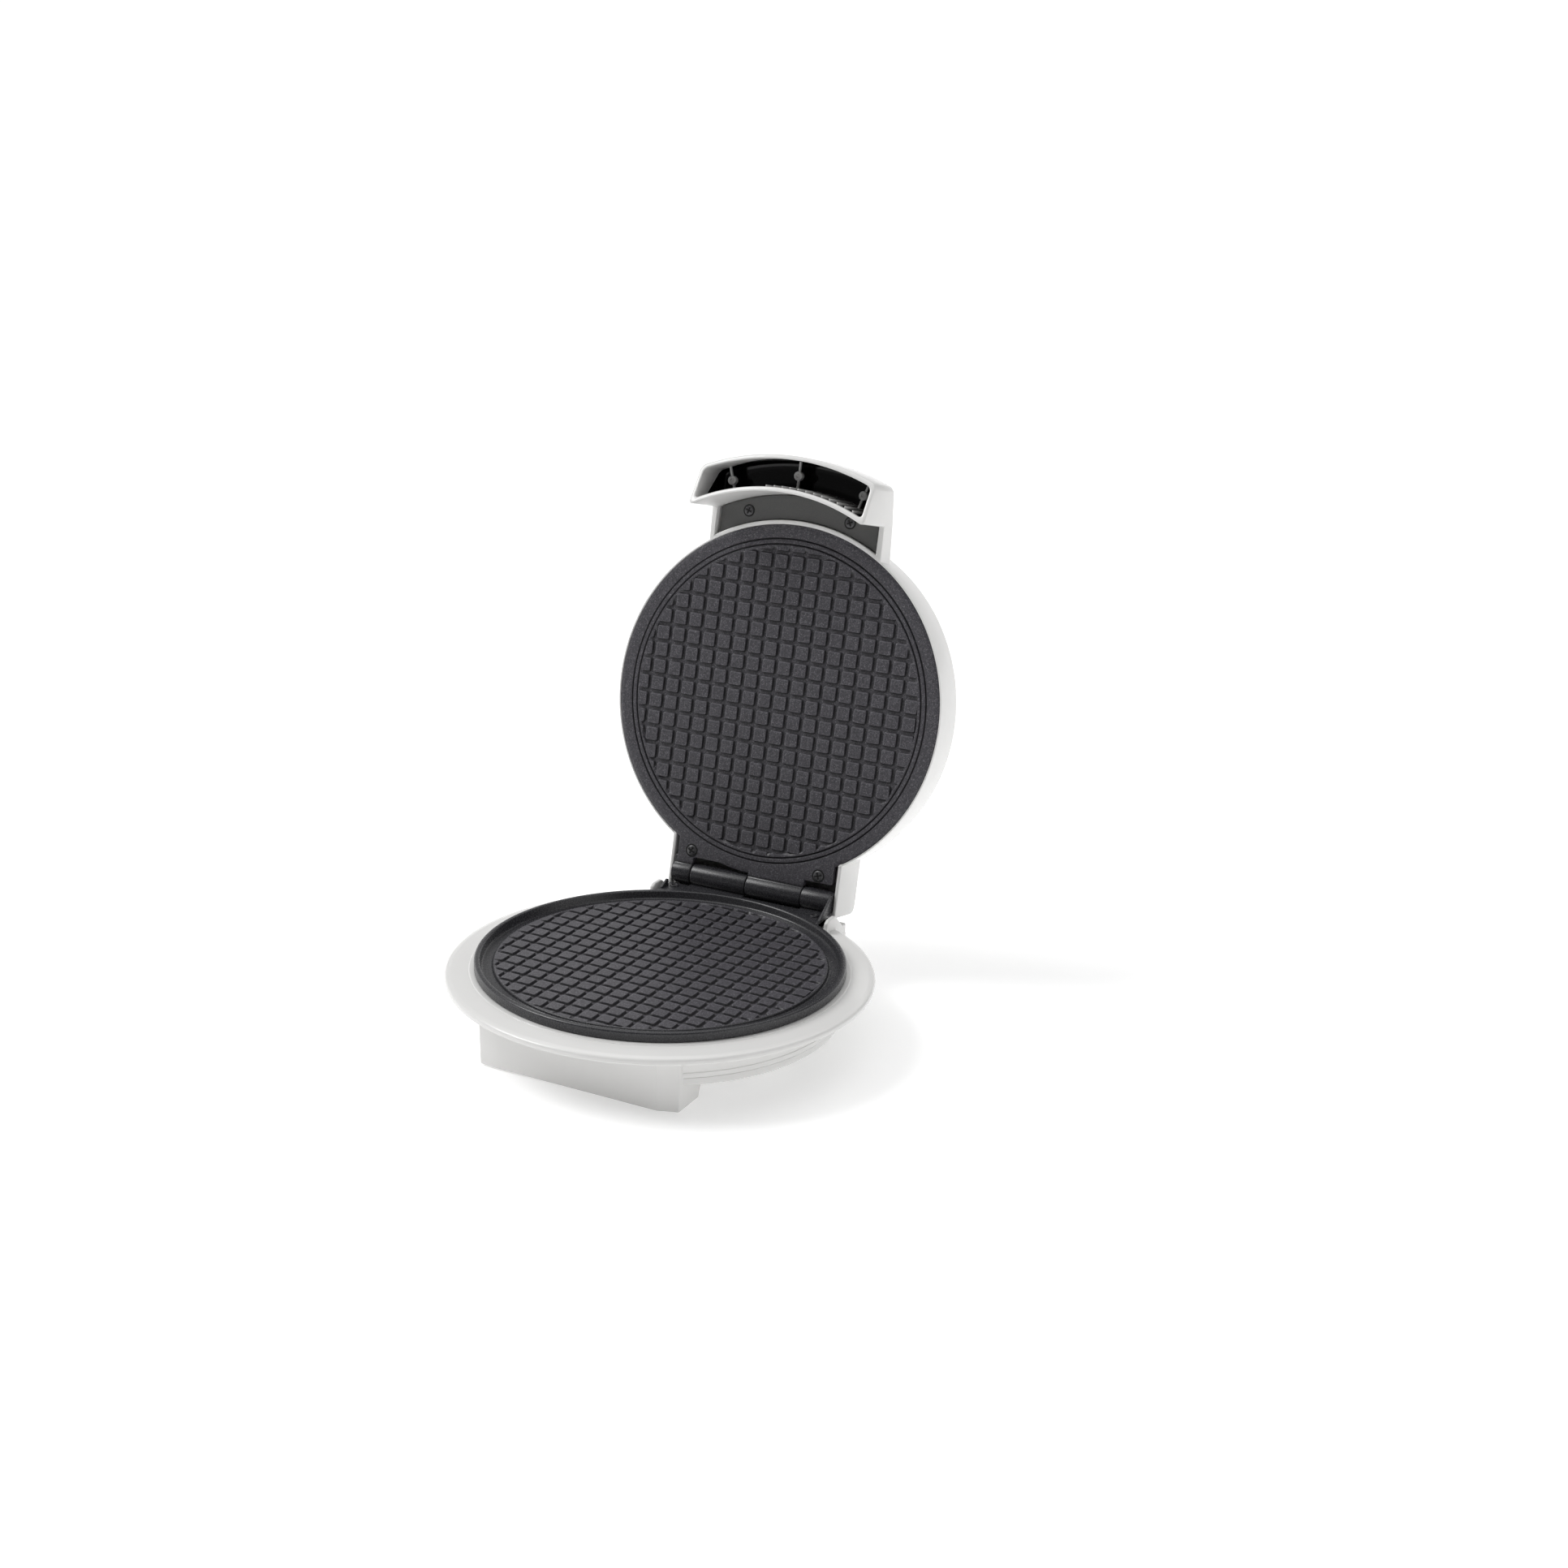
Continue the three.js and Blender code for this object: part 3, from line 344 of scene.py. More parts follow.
def drawn_in(plan, inset):
    """The outline with every side moved inwards by inset; corners stay where sides meet."""
    plan = np.array(plan, float)
    area = np.sum(plan[:, 0] * np.roll(plan[:, 1], -1) - np.roll(plan[:, 0], -1) * plan[:, 1])
    side = np.roll(plan, -1, axis=0) - plan
    side /= np.linalg.norm(side, axis=1)[:, None]
    inward = np.column_stack([-side[:, 1], side[:, 0]]) * np.sign(area)
    before = np.roll(inward, 1, axis=0)
    share = 1 + (inward * before).sum(1)
    return plan + (inward + before) / share[:, None] * inset


def layered(mesh, layers):
    """Stores each layer's number at every vertex of the mesh, under the layer's name."""
    for key, value in layers.items():
        layer = mesh.attributes.new(key, "FLOAT", "POINT")
        layer.data.foreach_set("value", value.astype(np.float32))


def finished(name, mesh, finish, body, angle):
    """The mesh as a piece that rides on body, smooth where faces meet at less than angle."""
    mesh.shade_smooth()
    mesh.set_sharp_from_angle(angle=math.radians(angle))
    mesh.materials.append(finish)
    made = bpy.data.objects.new(name, mesh)
    bpy.context.collection.objects.link(made)
    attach(made, body)
    return made


def joined(name, shells, place, finish, body, angle=32.0, layers=None):
    """Puts closed shells into one piece: merged poles, outward faces; layers is a function that
    gives the vertices' stored numbers from where they are."""
    points, faces, base = [], [], 0
    for shell_points, shell_faces in shells:
        points.append(shell_points)
        faces += [[base + i for i in face] for face in shell_faces]
        base += len(shell_points)
    mesh = bpy.data.meshes.new(name)
    points = np.concatenate(points)
    mesh.from_pydata(place(points).tolist(), [], faces)
    layered(mesh, layers(points) if layers else {})
    work = bmesh.new()
    work.from_mesh(mesh)
    bmesh.ops.remove_doubles(work, verts=work.verts, dist=2e-7)
    bmesh.ops.dissolve_degenerate(work, edges=work.edges, dist=2e-7)
    bmesh.ops.recalc_face_normals(work, faces=work.faces)
    work.to_mesh(mesh)
    work.free()
    return finished(name, mesh, finish, body, angle)


PITCH = 10.0                           # pad to pad
PAD_HALF = 3.8
PAD_CORNER = 1.0
CHANNEL = 1.35                         # depth of the channels between pads
FIELD = 88.0                           # radius where the channels stop
FIELD_FADE = 0.55                      # distance over which they die out there
FIELD_SHIFT = (3.38, 0.37)             # nearest pad's centre from the plate's axis


def from_pad(x, y):
    """Place of each point as seen from the centre of the nearest pad."""
    return [(t - shift + PITCH / 2) % PITCH - PITCH / 2 for t, shift in zip((x, y), FIELD_SHIFT)]


def in_field(x, y):
    """1 inside the gridded field, falling to 0 at its edge."""
    return np.clip((FIELD - np.hypot(x, y)) / FIELD_FADE, 0, 1)


def beyond_pad(x, y):
    """Distance outside the nearest rounded pad, negative on it."""
    qx, qy = (np.abs(t) - (PAD_HALF - PAD_CORNER) for t in from_pad(x, y))
    outside = np.hypot(np.maximum(qx, 0), np.maximum(qy, 0)) + np.minimum(np.maximum(qx, qy), 0)
    return outside - PAD_CORNER


def grid_depth(x, y):
    """Depth of the channels at (x, y): a soft step off the pads, dying out at the field's edge."""
    step = np.clip((beyond_pad(x, y) + 0.12) / 0.50, 0, 1)
    soft = lambda t: t * t * (3 - 2 * t)
    return CHANNEL * soft(step) * soft(in_field(x, y))


def pad_layers(x, y, far):
    """Two bell curves of the distance from a pad: painted shade at its foot and a painted highlight
    along its top edge. The shade is fuller, and the highlight weaker, on the two sides turned from
    the key light: +x, and +y or -y as far says."""
    out, field = beyond_pad(x, y), in_field(x, y)
    across, along = from_pad(x, y)
    shaded_side = np.where(np.abs(across) > np.abs(along), across, along * far) > 0
    foot = np.exp(-((out - 0.34) / np.where(shaded_side, 0.42, 0.22)) ** 2) * np.where(shaded_side, 1.0, 0.55)
    edge = np.exp(-((out + 0.26) / 0.24) ** 2) * np.where(shaded_side, 0.35, 1.0)
    return {"pad_foot": foot * field, "worn_edge": edge * field}


def grid_quads(index):
    """The four corners of each cell of a grid of vertex numbers."""
    cells = [index[:-1, :-1], index[1:, :-1], index[1:, 1:], index[:-1, 1:]]
    return np.stack(cells, -1).reshape(-1, 4)


def gridded_face(edge):
    """A square grid whose lines follow the pads, its outer points drawn in to the circle."""
    marks = np.array([-4.45, -4.3, -4.1, -3.9, -3.7, -3.5, -3.3, -2.9, -1.8, 0.0, 1.8, 2.9, 3.3,
                      3.5, 3.7, 3.9, 4.1, 4.3, 4.45])
    lines = lambda shift: np.unique(np.round(np.concatenate(
        [k * PITCH + marks + shift for k in range(-11, 12)]), 4))
    xs, ys = (t[np.abs(t) < edge + 3] for t in map(lines, FIELD_SHIFT))
    x, y = np.meshgrid(xs, ys, indexing="ij")
    r = np.hypot(x, y)
    quads = grid_quads(np.arange(x.size).reshape(x.shape))
    quads = quads[(r.ravel()[quads] < edge).any(1)]
    pull = np.where(r > edge, edge / np.maximum(r, 1e-6), 1.0)
    x, y = x * pull, y * pull
    used, packed = np.unique(quads, return_inverse=True)
    points = np.column_stack([x.ravel(), y.ravel(), -grid_depth(x, y).ravel()])[used]
    return points, packed.reshape(quads.shape)


def face_piece(name, points, quads, place, body, far):
    """A gridded face as its own piece, its painted shade fuller on the sides that far says."""
    mesh = bpy.data.meshes.new(name)
    mesh.from_pydata(place(points).tolist(), [], quads.tolist())
    layered(mesh, pad_layers(points[:, 0], points[:, 1], far))
    return finished(name, mesh, face_coat, body, 60)


def coating(name, speckle, roughness, colour, corners=False):
    """Non-stick coating: near-black, with fine mica glints and the grain of a blasted casting.

    On a gridded face, where corners is set, the foot of every pad is darker, painted shade, and the
    edge of every pad is paler, a painted highlight."""
    made = Finish(name, Roughness=roughness, IOR=1.5)
    glint = made.cells(0.42).over(0.80, 1.0)
    mottle = made.noise(0.9, 3.0, 0.6)
    cloud = made.noise(28.0, 2.0)
    light = (glint * speckle + (mottle - 0.42) * speckle * 1.5).clipped()
    deep = made.mix(cloud, tuple(c * 0.9 for c in colour), tuple(c * 1.12 for c in colour))
    paint = made.mix(light, deep, (0.30, 0.29, 0.32))
    if corners:
        # Painted highlight along the pads' edges, then painted shade at their feet and in the ring
        # grooves.
        paint = made.mix(made.layer("worn_edge") * 0.34, paint, (0.24, 0.235, 0.26))
        paint = made.mix(made.layer("pad_foot") * 0.95, paint, (0.003, 0.003, 0.004))
    return made.done(paint, made.noise(0.9, 2.0) * 0.16 + (roughness - 0.08),
                     made.noise(0.55, 3.0, 0.65) + made.noise(2.2) * 0.5, 0.05)


face_coat = coating("face_coating", 0.42, 0.42, (0.043, 0.041, 0.048), corners=True)
rim_coat = coating("rim_coating", 0.12, 0.27, (0.026, 0.026, 0.029))

PAN_OUT, PAN_SKIRT, PAN_UNDER = 99.4, 5.2, 8.5
pan = filleted([(0, -PAN_UNDER), (94.6, -PAN_UNDER), (94.6, -PAN_SKIRT), (PAN_OUT, -PAN_SKIRT),
                (PAN_OUT, 0), (96.3, 0), (95.5, -4.6), (89.9, -4.6), (89.3, -3.0), (88.5, -3.0),
                (88.4, -5.2), (0, -5.2)],
               [0, 0.3, 0.2, 0.5, 1.3, 1.2, 1.4, 1.0, 0.5, 0.05, 0.05, 0], shut=False)
pan[:, 1] += RIM
BARREL, BORE = 6.6, 2.35               # radii of a hinge barrel


def knuckle(x0, x1, rise):
    """A hinge barrel between two stations on the rod, bored, with rounded ends."""
    outline = filleted([(x0, BORE), (x0, BARREL), (x1, BARREL), (x1, BORE)], [0.3, 0.7, 0.7, 0.3])
    return woven(axled(outline) + [0, ROD_Y, rise], True, True)


def web(section, x0, x1, edge=0.5, fillet=0.6):
    """A (y, z) section carried along x, its ends rounded."""
    loops = []
    for x, inset in rounding(x0, x1, edge, edge, 3):
        outline = filleted(drawn_in(section, inset), fillet)
        loops.append(np.column_stack([np.full(len(outline), x), outline]))
    return lofted(loops)


BARREL_RISE = RIM + 4.25
LUG_HALF, LUG_ARC, LUG_END = 51.9, 98.2, 100.4
lug_x = np.linspace(LUG_HALF, -LUG_HALF, 41)
lug_plan = [*zip(lug_x, np.sqrt(LUG_ARC ** 2 - lug_x ** 2)), (-LUG_HALF, LUG_END),
            (LUG_HALF, LUG_END)]
lug = slab(lug_plan, RIM - PAN_SKIRT, RIM - 1.0, 0.3, 0.5, np.array([0.1] * 41 + [0.8, 0.8]))
arm = [(96, RIM - 4.9), (106, RIM - 3.6), (ROD_Y, RIM - 2.2), (ROD_Y, RIM), (96, RIM - 1.1)]
fin = [(86, RIM - 5.0), (104, RIM - 4.4), (ROD_Y, RIM - 2), (ROD_Y, RIM + 10.7),
       (104.4, RIM + 10.0), (88.6, RIM), (86, RIM - 0.6)]
bed = [(96, RIM - 5.0), (110, RIM - 5.0), (110, RIM - 3.2), (106, RIM - 2.9), (103.6, RIM - 2.1),
       (102.3, RIM - 1.1), (96, RIM - 1.03)]
tab = [(90, RIM - 4), (97.6, RIM - 4), (97.6, RIM + 2.4), (96.4, RIM + 2.8), (90, RIM - 0.2)]
stud, stud_faces = disc_solid(
    filleted([(0, RIM - 2), (2.7, RIM - 2), (2.5, RIM - 0.3), (1.5, RIM - 0.2), (1.2, RIM - 0.9),
              (0, RIM - 0.9)], [0, 0, 0.4, 0.3, 0.2, 0], shut=False), steps=32)
studs = [(stud + [x, y, 0], stud_faces) for x, y in ((-46.5, 97.6), (44.6, 96.6))]
lower_casting = joined(
    "lower_plate_casting",
    [disc_solid(pan), lug, web(arm, -39.2, -3.6), web(arm, 32.6, 51.8),
     knuckle(-39.2, -3.5, BARREL_RISE), knuckle(32.5, 50.6, BARREL_RISE),
     web(fin, 50.4, 51.9, 0.3), web(tab, -51.9, -50.5, 0.3), web(bed, -51.8, 51.8, 0.3, 0.3),
     *studs],
    on_base, rim_coat, "base")
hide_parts("lower_plate")
FACE_EDGE, FACE_SUNK = 88.9, 2.98      # the gridded face's radius, and its depth below the rim
face_points, face_quads = gridded_face(FACE_EDGE)
lower_face = face_piece("lower_cooking_face", face_points + [0, 0, RIM - FACE_SUNK], face_quads,
                        on_base, "base", far=-1)


# ------------------------------------------------------------------ upper cooking plate
# The lid's casting: a flat margin with two fine ring grooves round the same grid of pads, and a lug
# screwed to the lid's shell that carries the other two knuckles.
LID_OUT = 100.8
notch = lambda r, depth=1.0, half=0.6: [(r - half, 0), (r, depth), (r + half, 0)]
upper_outline = filleted(
    [(0, 2.2), (88.4, 2.2), (88.5, 0), *notch(89.8), *notch(92.9), (98.9, 0), (LID_OUT, 0.35),
     (LID_OUT, 3), (97.8, 3), (97.8, 6), (0, 6)],
    [0, 0.05, 0.05, 0.15, 0.2, 0.15, 0.15, 0.2, 0.15, 0.3, 0.5, 0.3, 0.3, 0.3, 0], shut=False)
UPPER_HALF, UPPER_ARC, EDGE, NOTCH = 50.0, 96.0, 102.0, 98.2
inner_x = np.linspace(UPPER_HALF, -UPPER_HALF, 33)
upper_plan = [*zip(inner_x, np.sqrt(UPPER_ARC ** 2 - inner_x ** 2)), (-UPPER_HALF, EDGE),
              (-39.4, EDGE), (-39.4, NOTCH), (-3.2, NOTCH), (-3.2, EDGE), (32.4, EDGE),
              (32.4, NOTCH), (UPPER_HALF, NOTCH)]
upper_lug = slab(upper_plan, 0.02, 5.0, 0.5, 0.4,
                 np.array([0.1] * 33 + [1.2, 0.8, 1.4, 1.4, 0.8, 0.8, 1.4, 1.2]))
top_arm = [(98, 0.3), (102.6, 0.3), (104.4, -1.0), (ROD_Y, -2.6), (ROD_Y, 9.6), (101, 5.0),
           (98, 4.8)]


def groove_layers(points):
    """Painted shade in the ring grooves, full where they are 0.5 deep; no painted highlight."""
    r = np.hypot(points[:, 0], points[:, 1])
    return {"pad_foot": np.where((r > 88.6) & (r < 94), np.clip(points[:, 2] / 0.5, 0, 1), 0),
            "worn_edge": 0 * r}


upper_casting = joined("upper_plate_casting", [disc_solid(upper_outline), upper_lug], on_lid,
                       face_coat, "lid", layers=groove_layers)
upper_knuckles = joined(
    "upper_hinge_knuckles",
    [web(top_arm, -51.6, -39.8), web(top_arm, -3.1, 32.2), knuckle(-51.9, -39.7, ROD_RISE),
     knuckle(-3.1, 32.2, ROD_RISE)], on_lid, rim_coat, "lid")
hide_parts("upper_plate")
upper_face = face_piece("upper_cooking_face", face_points * [1, 1, -1] - [0, 0, 0.02],
                        face_quads[:, ::-1], on_lid, "lid", far=1)


# ------------------------------------------------------------------ white casing of the base
# Injection-moulded gloss plastic. A dished flange rings the plate, a drum below it hides the
# element, a block foot stands at the front, and a block at the rear carries hinge, stop and cord
# inlet.
def gloss_white(name):
    """Glossy warm white plastic: faint flow clouding, mould-texture ripple and slight wear."""
    made = Finish(name, Roughness=0.24, IOR=1.47)
    made.shader.inputs["Coat Weight"].default_value = 0.25
    made.shader.inputs["Coat Roughness"].default_value = 0.08
    paint = made.mix(made.noise(45.0, 2.0), (0.780, 0.776, 0.764), (0.810, 0.806, 0.795))
    return made.done(paint, made.noise(6.0, 3.0) * 0.08 + 0.20, made.noise(9.0, 1.0), 0.012)


white = gloss_white("casing_gloss_white")
FLANGE, SEAT, BELLY = 115.0, RIM - 5.5, 13.5
flange = filleted([(95.2, SEAT), (101.8, SEAT), (102.1, SEAT - 0.45), (111.6, SEAT - 1.1),
                   (FLANGE, SEAT - 1.7), (FLANGE, SEAT - 4.8), (112.8, SEAT - 4.8),
                   (112.3, SEAT - 3.6), (95.2, SEAT - 2.6)],
                  [0.2, 0.25, 0.25, 5, 3.2, 0.7, 0.4, 1, 0.2], steps=8)
drum = filleted([(96.0, 18.5), (98.8, 18.5), (98.9, 21.0), (98.5, 21.4), (100.2, SEAT - 2),
                 (97.4, SEAT - 2)], [0.2, 0.3, 0.4, 0.4, 0.2, 0.2])
FOOT_SECTOR = 33.0                     # half the angle that the foot takes from the drum's wall
HALF, CREASE, FRONT, TURN, BACK = 58.0, 47.0, 86.9, 4.0, 62.4
STANDS = 0.8                           # moulded feet above the floor, on their rubber pads


def foot_loop(z, inset):
    """The front foot's outline at a height: its back leans by 17 degrees, its left end by 2."""
    lean = math.tan(math.radians(17)) * (z - STANDS)
    left = HALF + math.tan(math.radians(2)) * (z - STANDS)
    plan = [(-left, lean - BACK), (-left, 0.8 - FRONT), (-CREASE, -FRONT),
            (CREASE, -FRONT), (HALF, TURN - FRONT), (HALF, lean - BACK)]
    outline = filleted(drawn_in(plan, inset), [1.0, 1.0, 0.6, 0.6, 1.0, 1.0])
    return np.column_stack([outline, np.full(len(outline), z)])


foot = lofted([foot_loop(z, inset) for z, inset in rounding(STANDS, 34.6, 0.8, 0.1, 5)])
REAR, REAR_END = 57.5, 118.5
rear = slab([(-REAR, 84), (REAR, 84), (REAR, 113), (52, REAR_END), (-52, REAR_END), (-REAR, 113)],
            STANDS, 30.0, 1.3, 1.0, 2.0)
shelf = slab([(-REAR + 0.2, 84), (REAR - 0.2, 84), (REAR - 0.2, 113.2), (-REAR + 0.2, 113.2)],
             28, SEAT - 2.6, 0.5, 0.8, 1.0)
cheek = [(86.2, 30), (112.6, 30), (112.2, 32.2), (99.2, RIM + 0.2), (97.0, RIM + 1.3),
         (90.2, RIM + 1.3), (87.4, RIM - 0.3), (86.2, SEAT)]
CHEEK_ROUND = [0.3, 0.5, 1.5, 2, 1.2, 1.2, 1.2, 0.5]
stop = slab([(-28, 115.4), (28, 115.4), (28, 118.4), (-28, 118.4)], 28, 36.8, 0.3, 0.8, 0.8)
base_casing = joined(
    "base_casing",
    [ring_solid(flange), ring_solid(drum, first=FOOT_SECTOR - 90, last=270 - FOOT_SECTOR), foot,
     rear, shelf, stop,
     web(cheek, 54.9, 57.4, 0.9, CHEEK_ROUND), web(cheek, -57.4, -54.9, 0.9, CHEEK_ROUND)],
    on_base, white, "base")
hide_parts("lower_housing")


# ------------------------------------------------------------------ bottom cover
# A shallow moulded dish closes the drum from below, held by four screws, with a hollow skid on each
# side to steady the open machine.
dish = filleted([(0, BELLY), (98.2, BELLY), (98.2, 18.2), (95.6, 18.2), (95.6, 16.1), (0, 16.1)],
                [0, 2.8, 0.4, 0.3, 0.5, 0], steps=6, shut=False)


def behind_foot(shell):
    """The dish, its edge pressed back where it would stand out through the foot's front wall."""
    points, faces = shell
    return np.column_stack([points[:, 0], np.maximum(points[:, 1], -83.0), points[:, 2]]), faces


skids = [slab([(a, 1.7), (b, 1.7), (b, 39.7), (a, 39.7)], STANDS, 15.5, 1.3, 0.2, 2.0)
         for a, b in ((67.6, 83.6), (-83.6, -67.6))]
cover = joined("base_bottom_cover", [behind_foot(disc_solid(dish)), *skids], on_base, white, "base")
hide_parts("bottom_cover")


# ------------------------------------------------------------------ lid shell and hood handle
# One white moulding: a drum behind the upper plate, a square tail over the hinge, and at the front
# a hollow hood that hangs over the base's flange as the handle.
SHELL_IN, SHELL_OUT, SHELL_TOP = 101.1, 101.9, 27.6
TAIL_HALF, TAIL_END = 54.5, 116.5
gap_angle = math.degrees(math.asin((TAIL_HALF - 1.6) / SHELL_OUT))
side_wall = filleted([(SHELL_IN, 0.1), (SHELL_OUT, 0.1), (SHELL_OUT - 1.0, SHELL_TOP),
                      (96.0, SHELL_TOP), (96.0, SHELL_TOP - 2.4), (98.4, SHELL_TOP - 2.4),
                      (SHELL_IN - 1.4, 6)],
                     [0.25, 0.3, 1.6, 0.1, 0.1, 1.0, 0.2], steps=6)
DISC_TOP, TAIL_TOP = SHELL_TOP - 0.015, SHELL_TOP - 0.03
back_disc = filleted([(0, SHELL_TOP - 2.3), (97.0, SHELL_TOP - 2.3), (97.0, DISC_TOP),
                      (0, DISC_TOP)], [0, 0.1, 0.1, 0], shut=False)
drum_side = ring_solid(side_wall, steps=240, first=90 + gap_angle, last=450 - gap_angle)
TAIL_WALL = 2.2
tail_cap = [(60, SHELL_TOP - 2.4), (60, TAIL_TOP), (TAIL_END, TAIL_TOP), (TAIL_END, 12.2),
            (TAIL_END - TAIL_WALL, 12.2), (TAIL_END - TAIL_WALL, SHELL_TOP - 2.4)]
tail_side = [(84.0, 0.4), (84.0, TAIL_TOP), (TAIL_END, TAIL_TOP), (TAIL_END, 0.4)]
tail = [web(tail_cap, -TAIL_HALF + 0.02, TAIL_HALF - 0.02, 1.4, [0.1, 0.1, 5.0, 0.6, 0.6, 3.0])]
tail += [web(tail_side, x, x + TAIL_WALL, 0.7, [0.1, 0.1, 5.0, 1.2])
         for x in (TAIL_HALF - TAIL_WALL, -TAIL_HALF)]

WIDE, HOOD_IN, HOOD_OUT, WALL = 54.0, 117.8, 138.7, 2.4
GRIP_MID = (HOOD_IN + HOOD_OUT) / 2
DROP_IN, DROP_OUT = 31.0, 20.0
BACK_ROUND = 3.2                       # radius of the edge round the handle's back
MOUTH_ROUND = 2.6                      # radius of the corners of the hood's mouth


def bent(x, r, z):
    """Handle coordinates to lid millimetres: r is the distance from the plate's axis at that x."""
    return np.stack([x, -np.sqrt(np.maximum(r * r - x * x, 0)), z], axis=-1)


def bent_loop(half, inner, outer, fillet, height, squeeze=1.0):
    """A rounded rectangle in (x, r), its long sides finely divided, bent round the plate's axis at
    height(x, r); squeeze draws it in towards its middle radius."""
    points = filleted([(-half, inner), (half, inner), (half, outer), (-half, outer)], fillet, 7)
    first, second, third, fourth = np.split(points, 4)
    along = lambda a, b: np.linspace(a[-1], b[0], 42)[1:-1]
    x, r = np.concatenate([first, along(first, second), second, third, along(third, fourth),
                           fourth]).T
    middle = (inner + outer) / 2
    r = middle + (r - middle) * squeeze
    return bent(x, r, height(x, r) + 0 * r)


def back_height(r):
    """Height of the handle's back above the plate's face, falling from the shell to the grip."""
    return np.interp(r, [99, 118, 136.5, 138.8], [17.4, 14.0, 9.2, 8.4])


def rim_height(r):
    """The hood's mouth: the inner wall hangs lower than the outer one."""
    return np.interp(r, [HOOD_IN, HOOD_OUT], [-DROP_IN, -DROP_OUT])


def hood_loop(inset, fillet, height, squeeze=1.0):
    """A loop round the hood's outside, drawn in by inset, at height(x, r)."""
    return bent_loop(WIDE - inset, HOOD_IN + inset, HOOD_OUT - inset, fillet, height, squeeze)


def hood_shell():
    """Loops from the middle of the back, over its edge, down to the mouth and into the hollow."""
    hollow = WALL + 1.8
    back = lambda x, r: back_height(r)
    loops = [hood_loop(BACK_ROUND, 1.0, back, squeeze) for squeeze in (0.0, 0.3, 0.6, 0.85)]
    loops += [hood_loop(BACK_ROUND * (1 - math.sin(a)), 1.0 + 1.6 * math.sin(a),
                        lambda x, r: back_height(r) - BACK_ROUND * (1 - math.cos(a)))
              for a in np.linspace(0, math.pi / 2, 8)]
    loops += [hood_loop(WALL * 0.5 * (1 - math.cos(a)), MOUTH_ROUND,
                        lambda x, r: rim_height(r) + 0.7 * (1 - math.sin(a)))
              for a in np.linspace(0, math.pi, 9)]
    loops += [hood_loop(WALL + 1.8 * (1 - math.cos(a)), MOUTH_ROUND,
                        lambda x, r: 4.2 + 1.8 * math.sin(a))
              for a in np.linspace(0, math.pi / 2, 6)]
    loops += [hood_loop(hollow, 2.0, lambda x, r: 6.0, squeeze) for squeeze in (0.7, 0.35, 0.0)]
    return woven(np.array(loops), False, True)


ROOT_HALF, ROOT_IN = WIDE - 0.03, 101.0
POCKET_HALF, POCKET_IN, POCKET_OUT, POCKET_DEEP = 50.9, 103.3, 118.0, 5.4


def root_shell():
    """The handle's root: its back, round its sides to the front edges, and the insert's pocket."""
    loops = []

    def add(half, inner, outer, height, squeeze=1.0):
        loops.append(bent_loop(half, inner, outer, 0.3, height, squeeze))

    for squeeze in (0.0, 0.4, 0.8):
        add(WIDE - BACK_ROUND, 97.0, 121.0, lambda x, r: back_height(r), squeeze)
    for a in np.linspace(0, math.pi / 2, 8):
        add(ROOT_HALF - BACK_ROUND * (1 - math.sin(a)), 97.0, 121.0,
            lambda x, r: back_height(r) - BACK_ROUND * (1 - math.cos(a)))
    add(ROOT_HALF, 97.0, 121.0, lambda x, r: 5.0)
    add(ROOT_HALF, ROOT_IN, 120.0, lambda x, r: 1.2)
    for a in np.linspace(0, math.pi, 7):
        t = 0.5 * (1 - math.cos(a))
        add(ROOT_HALF - (ROOT_HALF - POCKET_HALF) * t, ROOT_IN + (POCKET_IN - ROOT_IN) * t,
            120.0 - 2.0 * t, lambda x, r: np.where(r < 103.4, 0.05, -1.0) + 0.5 * (1 - math.sin(a)))
    add(POCKET_HALF, POCKET_IN, POCKET_OUT, lambda x, r: 2.0)
    for squeeze in (1.0, 0.6, 0.0):
        add(POCKET_HALF, POCKET_IN, POCKET_OUT, lambda x, r: POCKET_DEEP, squeeze)
    return woven(np.array(loops), False, True)


lid_shell = joined(
    "lid_shell", [drum_side, disc_solid(back_disc), *tail, root_shell(), hood_shell()],
    on_lid, white, "lid", 30)
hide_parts("upper_housing")


# ------------------------------------------------------------------ inside of the hood
# A dark liner fills the hood's hollow behind three moulded screw bosses, which stand on thin webs;
# fine ribs stiffen the wall below them. The liner is black plastic, and how near the hood's mouth
# its brim comes, less near on the left, is painted shade; the black stems of the bosses and webs
# are painted shade too.
def gloss_black(name):
    """Polished black plastic, slightly dusty, so that the webs mirror in it."""
    made = Finish(name, Roughness=0.12, IOR=1.36)
    paint = made.mix(made.noise(14.0, 3.0), (0.003, 0.003, 0.003), (0.006, 0.006, 0.007))
    return made.done(paint, made.noise(8.0, 3.0) * 0.12 + 0.05, made.noise(12.0, 1.0), 0.02)


black = gloss_black("liner_gloss_black")


def brim_height(x, r):
    """3 above the hood's mouth, and up to 16 more towards the left, but not at the inner wall: the
    black brim follows where shade falls on the white walls, painted shade.
    """
    inner_wall = HOOD_IN + WALL
    rise = np.interp(x, [-46, -6], [16.0, 0.0]) * np.interp(r, [inner_wall, inner_wall + 4], [0, 1])
    return rim_height(r) + 3.0 + rise


def hood_liner():
    """A cup just inside the hood's walls: from its brim up the walls and across the ceiling."""
    loops = [hood_loop(WALL + 0.15, 2.5, brim_height)]
    loops += [hood_loop(WALL + gap, fillet, lambda x, r: height, squeeze)
              for gap, fillet, height, squeeze in (
                  (0.15, 2.5, 4.4, 1.0), (0.5, 2.3, 5.2, 1.0), (1.2, 2.0, 5.5, 1.0),
                  (1.2, 2.0, 5.5, 0.5), (1.2, 2.0, 5.5, 0.0))]
    return woven(np.array(loops), False, True)


liner = joined("hood_liner", [hood_liner()], on_lid, black, "lid", 40)
flip = bmesh.new()
flip.from_mesh(liner.data)
bmesh.ops.reverse_faces(flip, faces=flip.faces)
flip.to_mesh(liner.data)
flip.free()

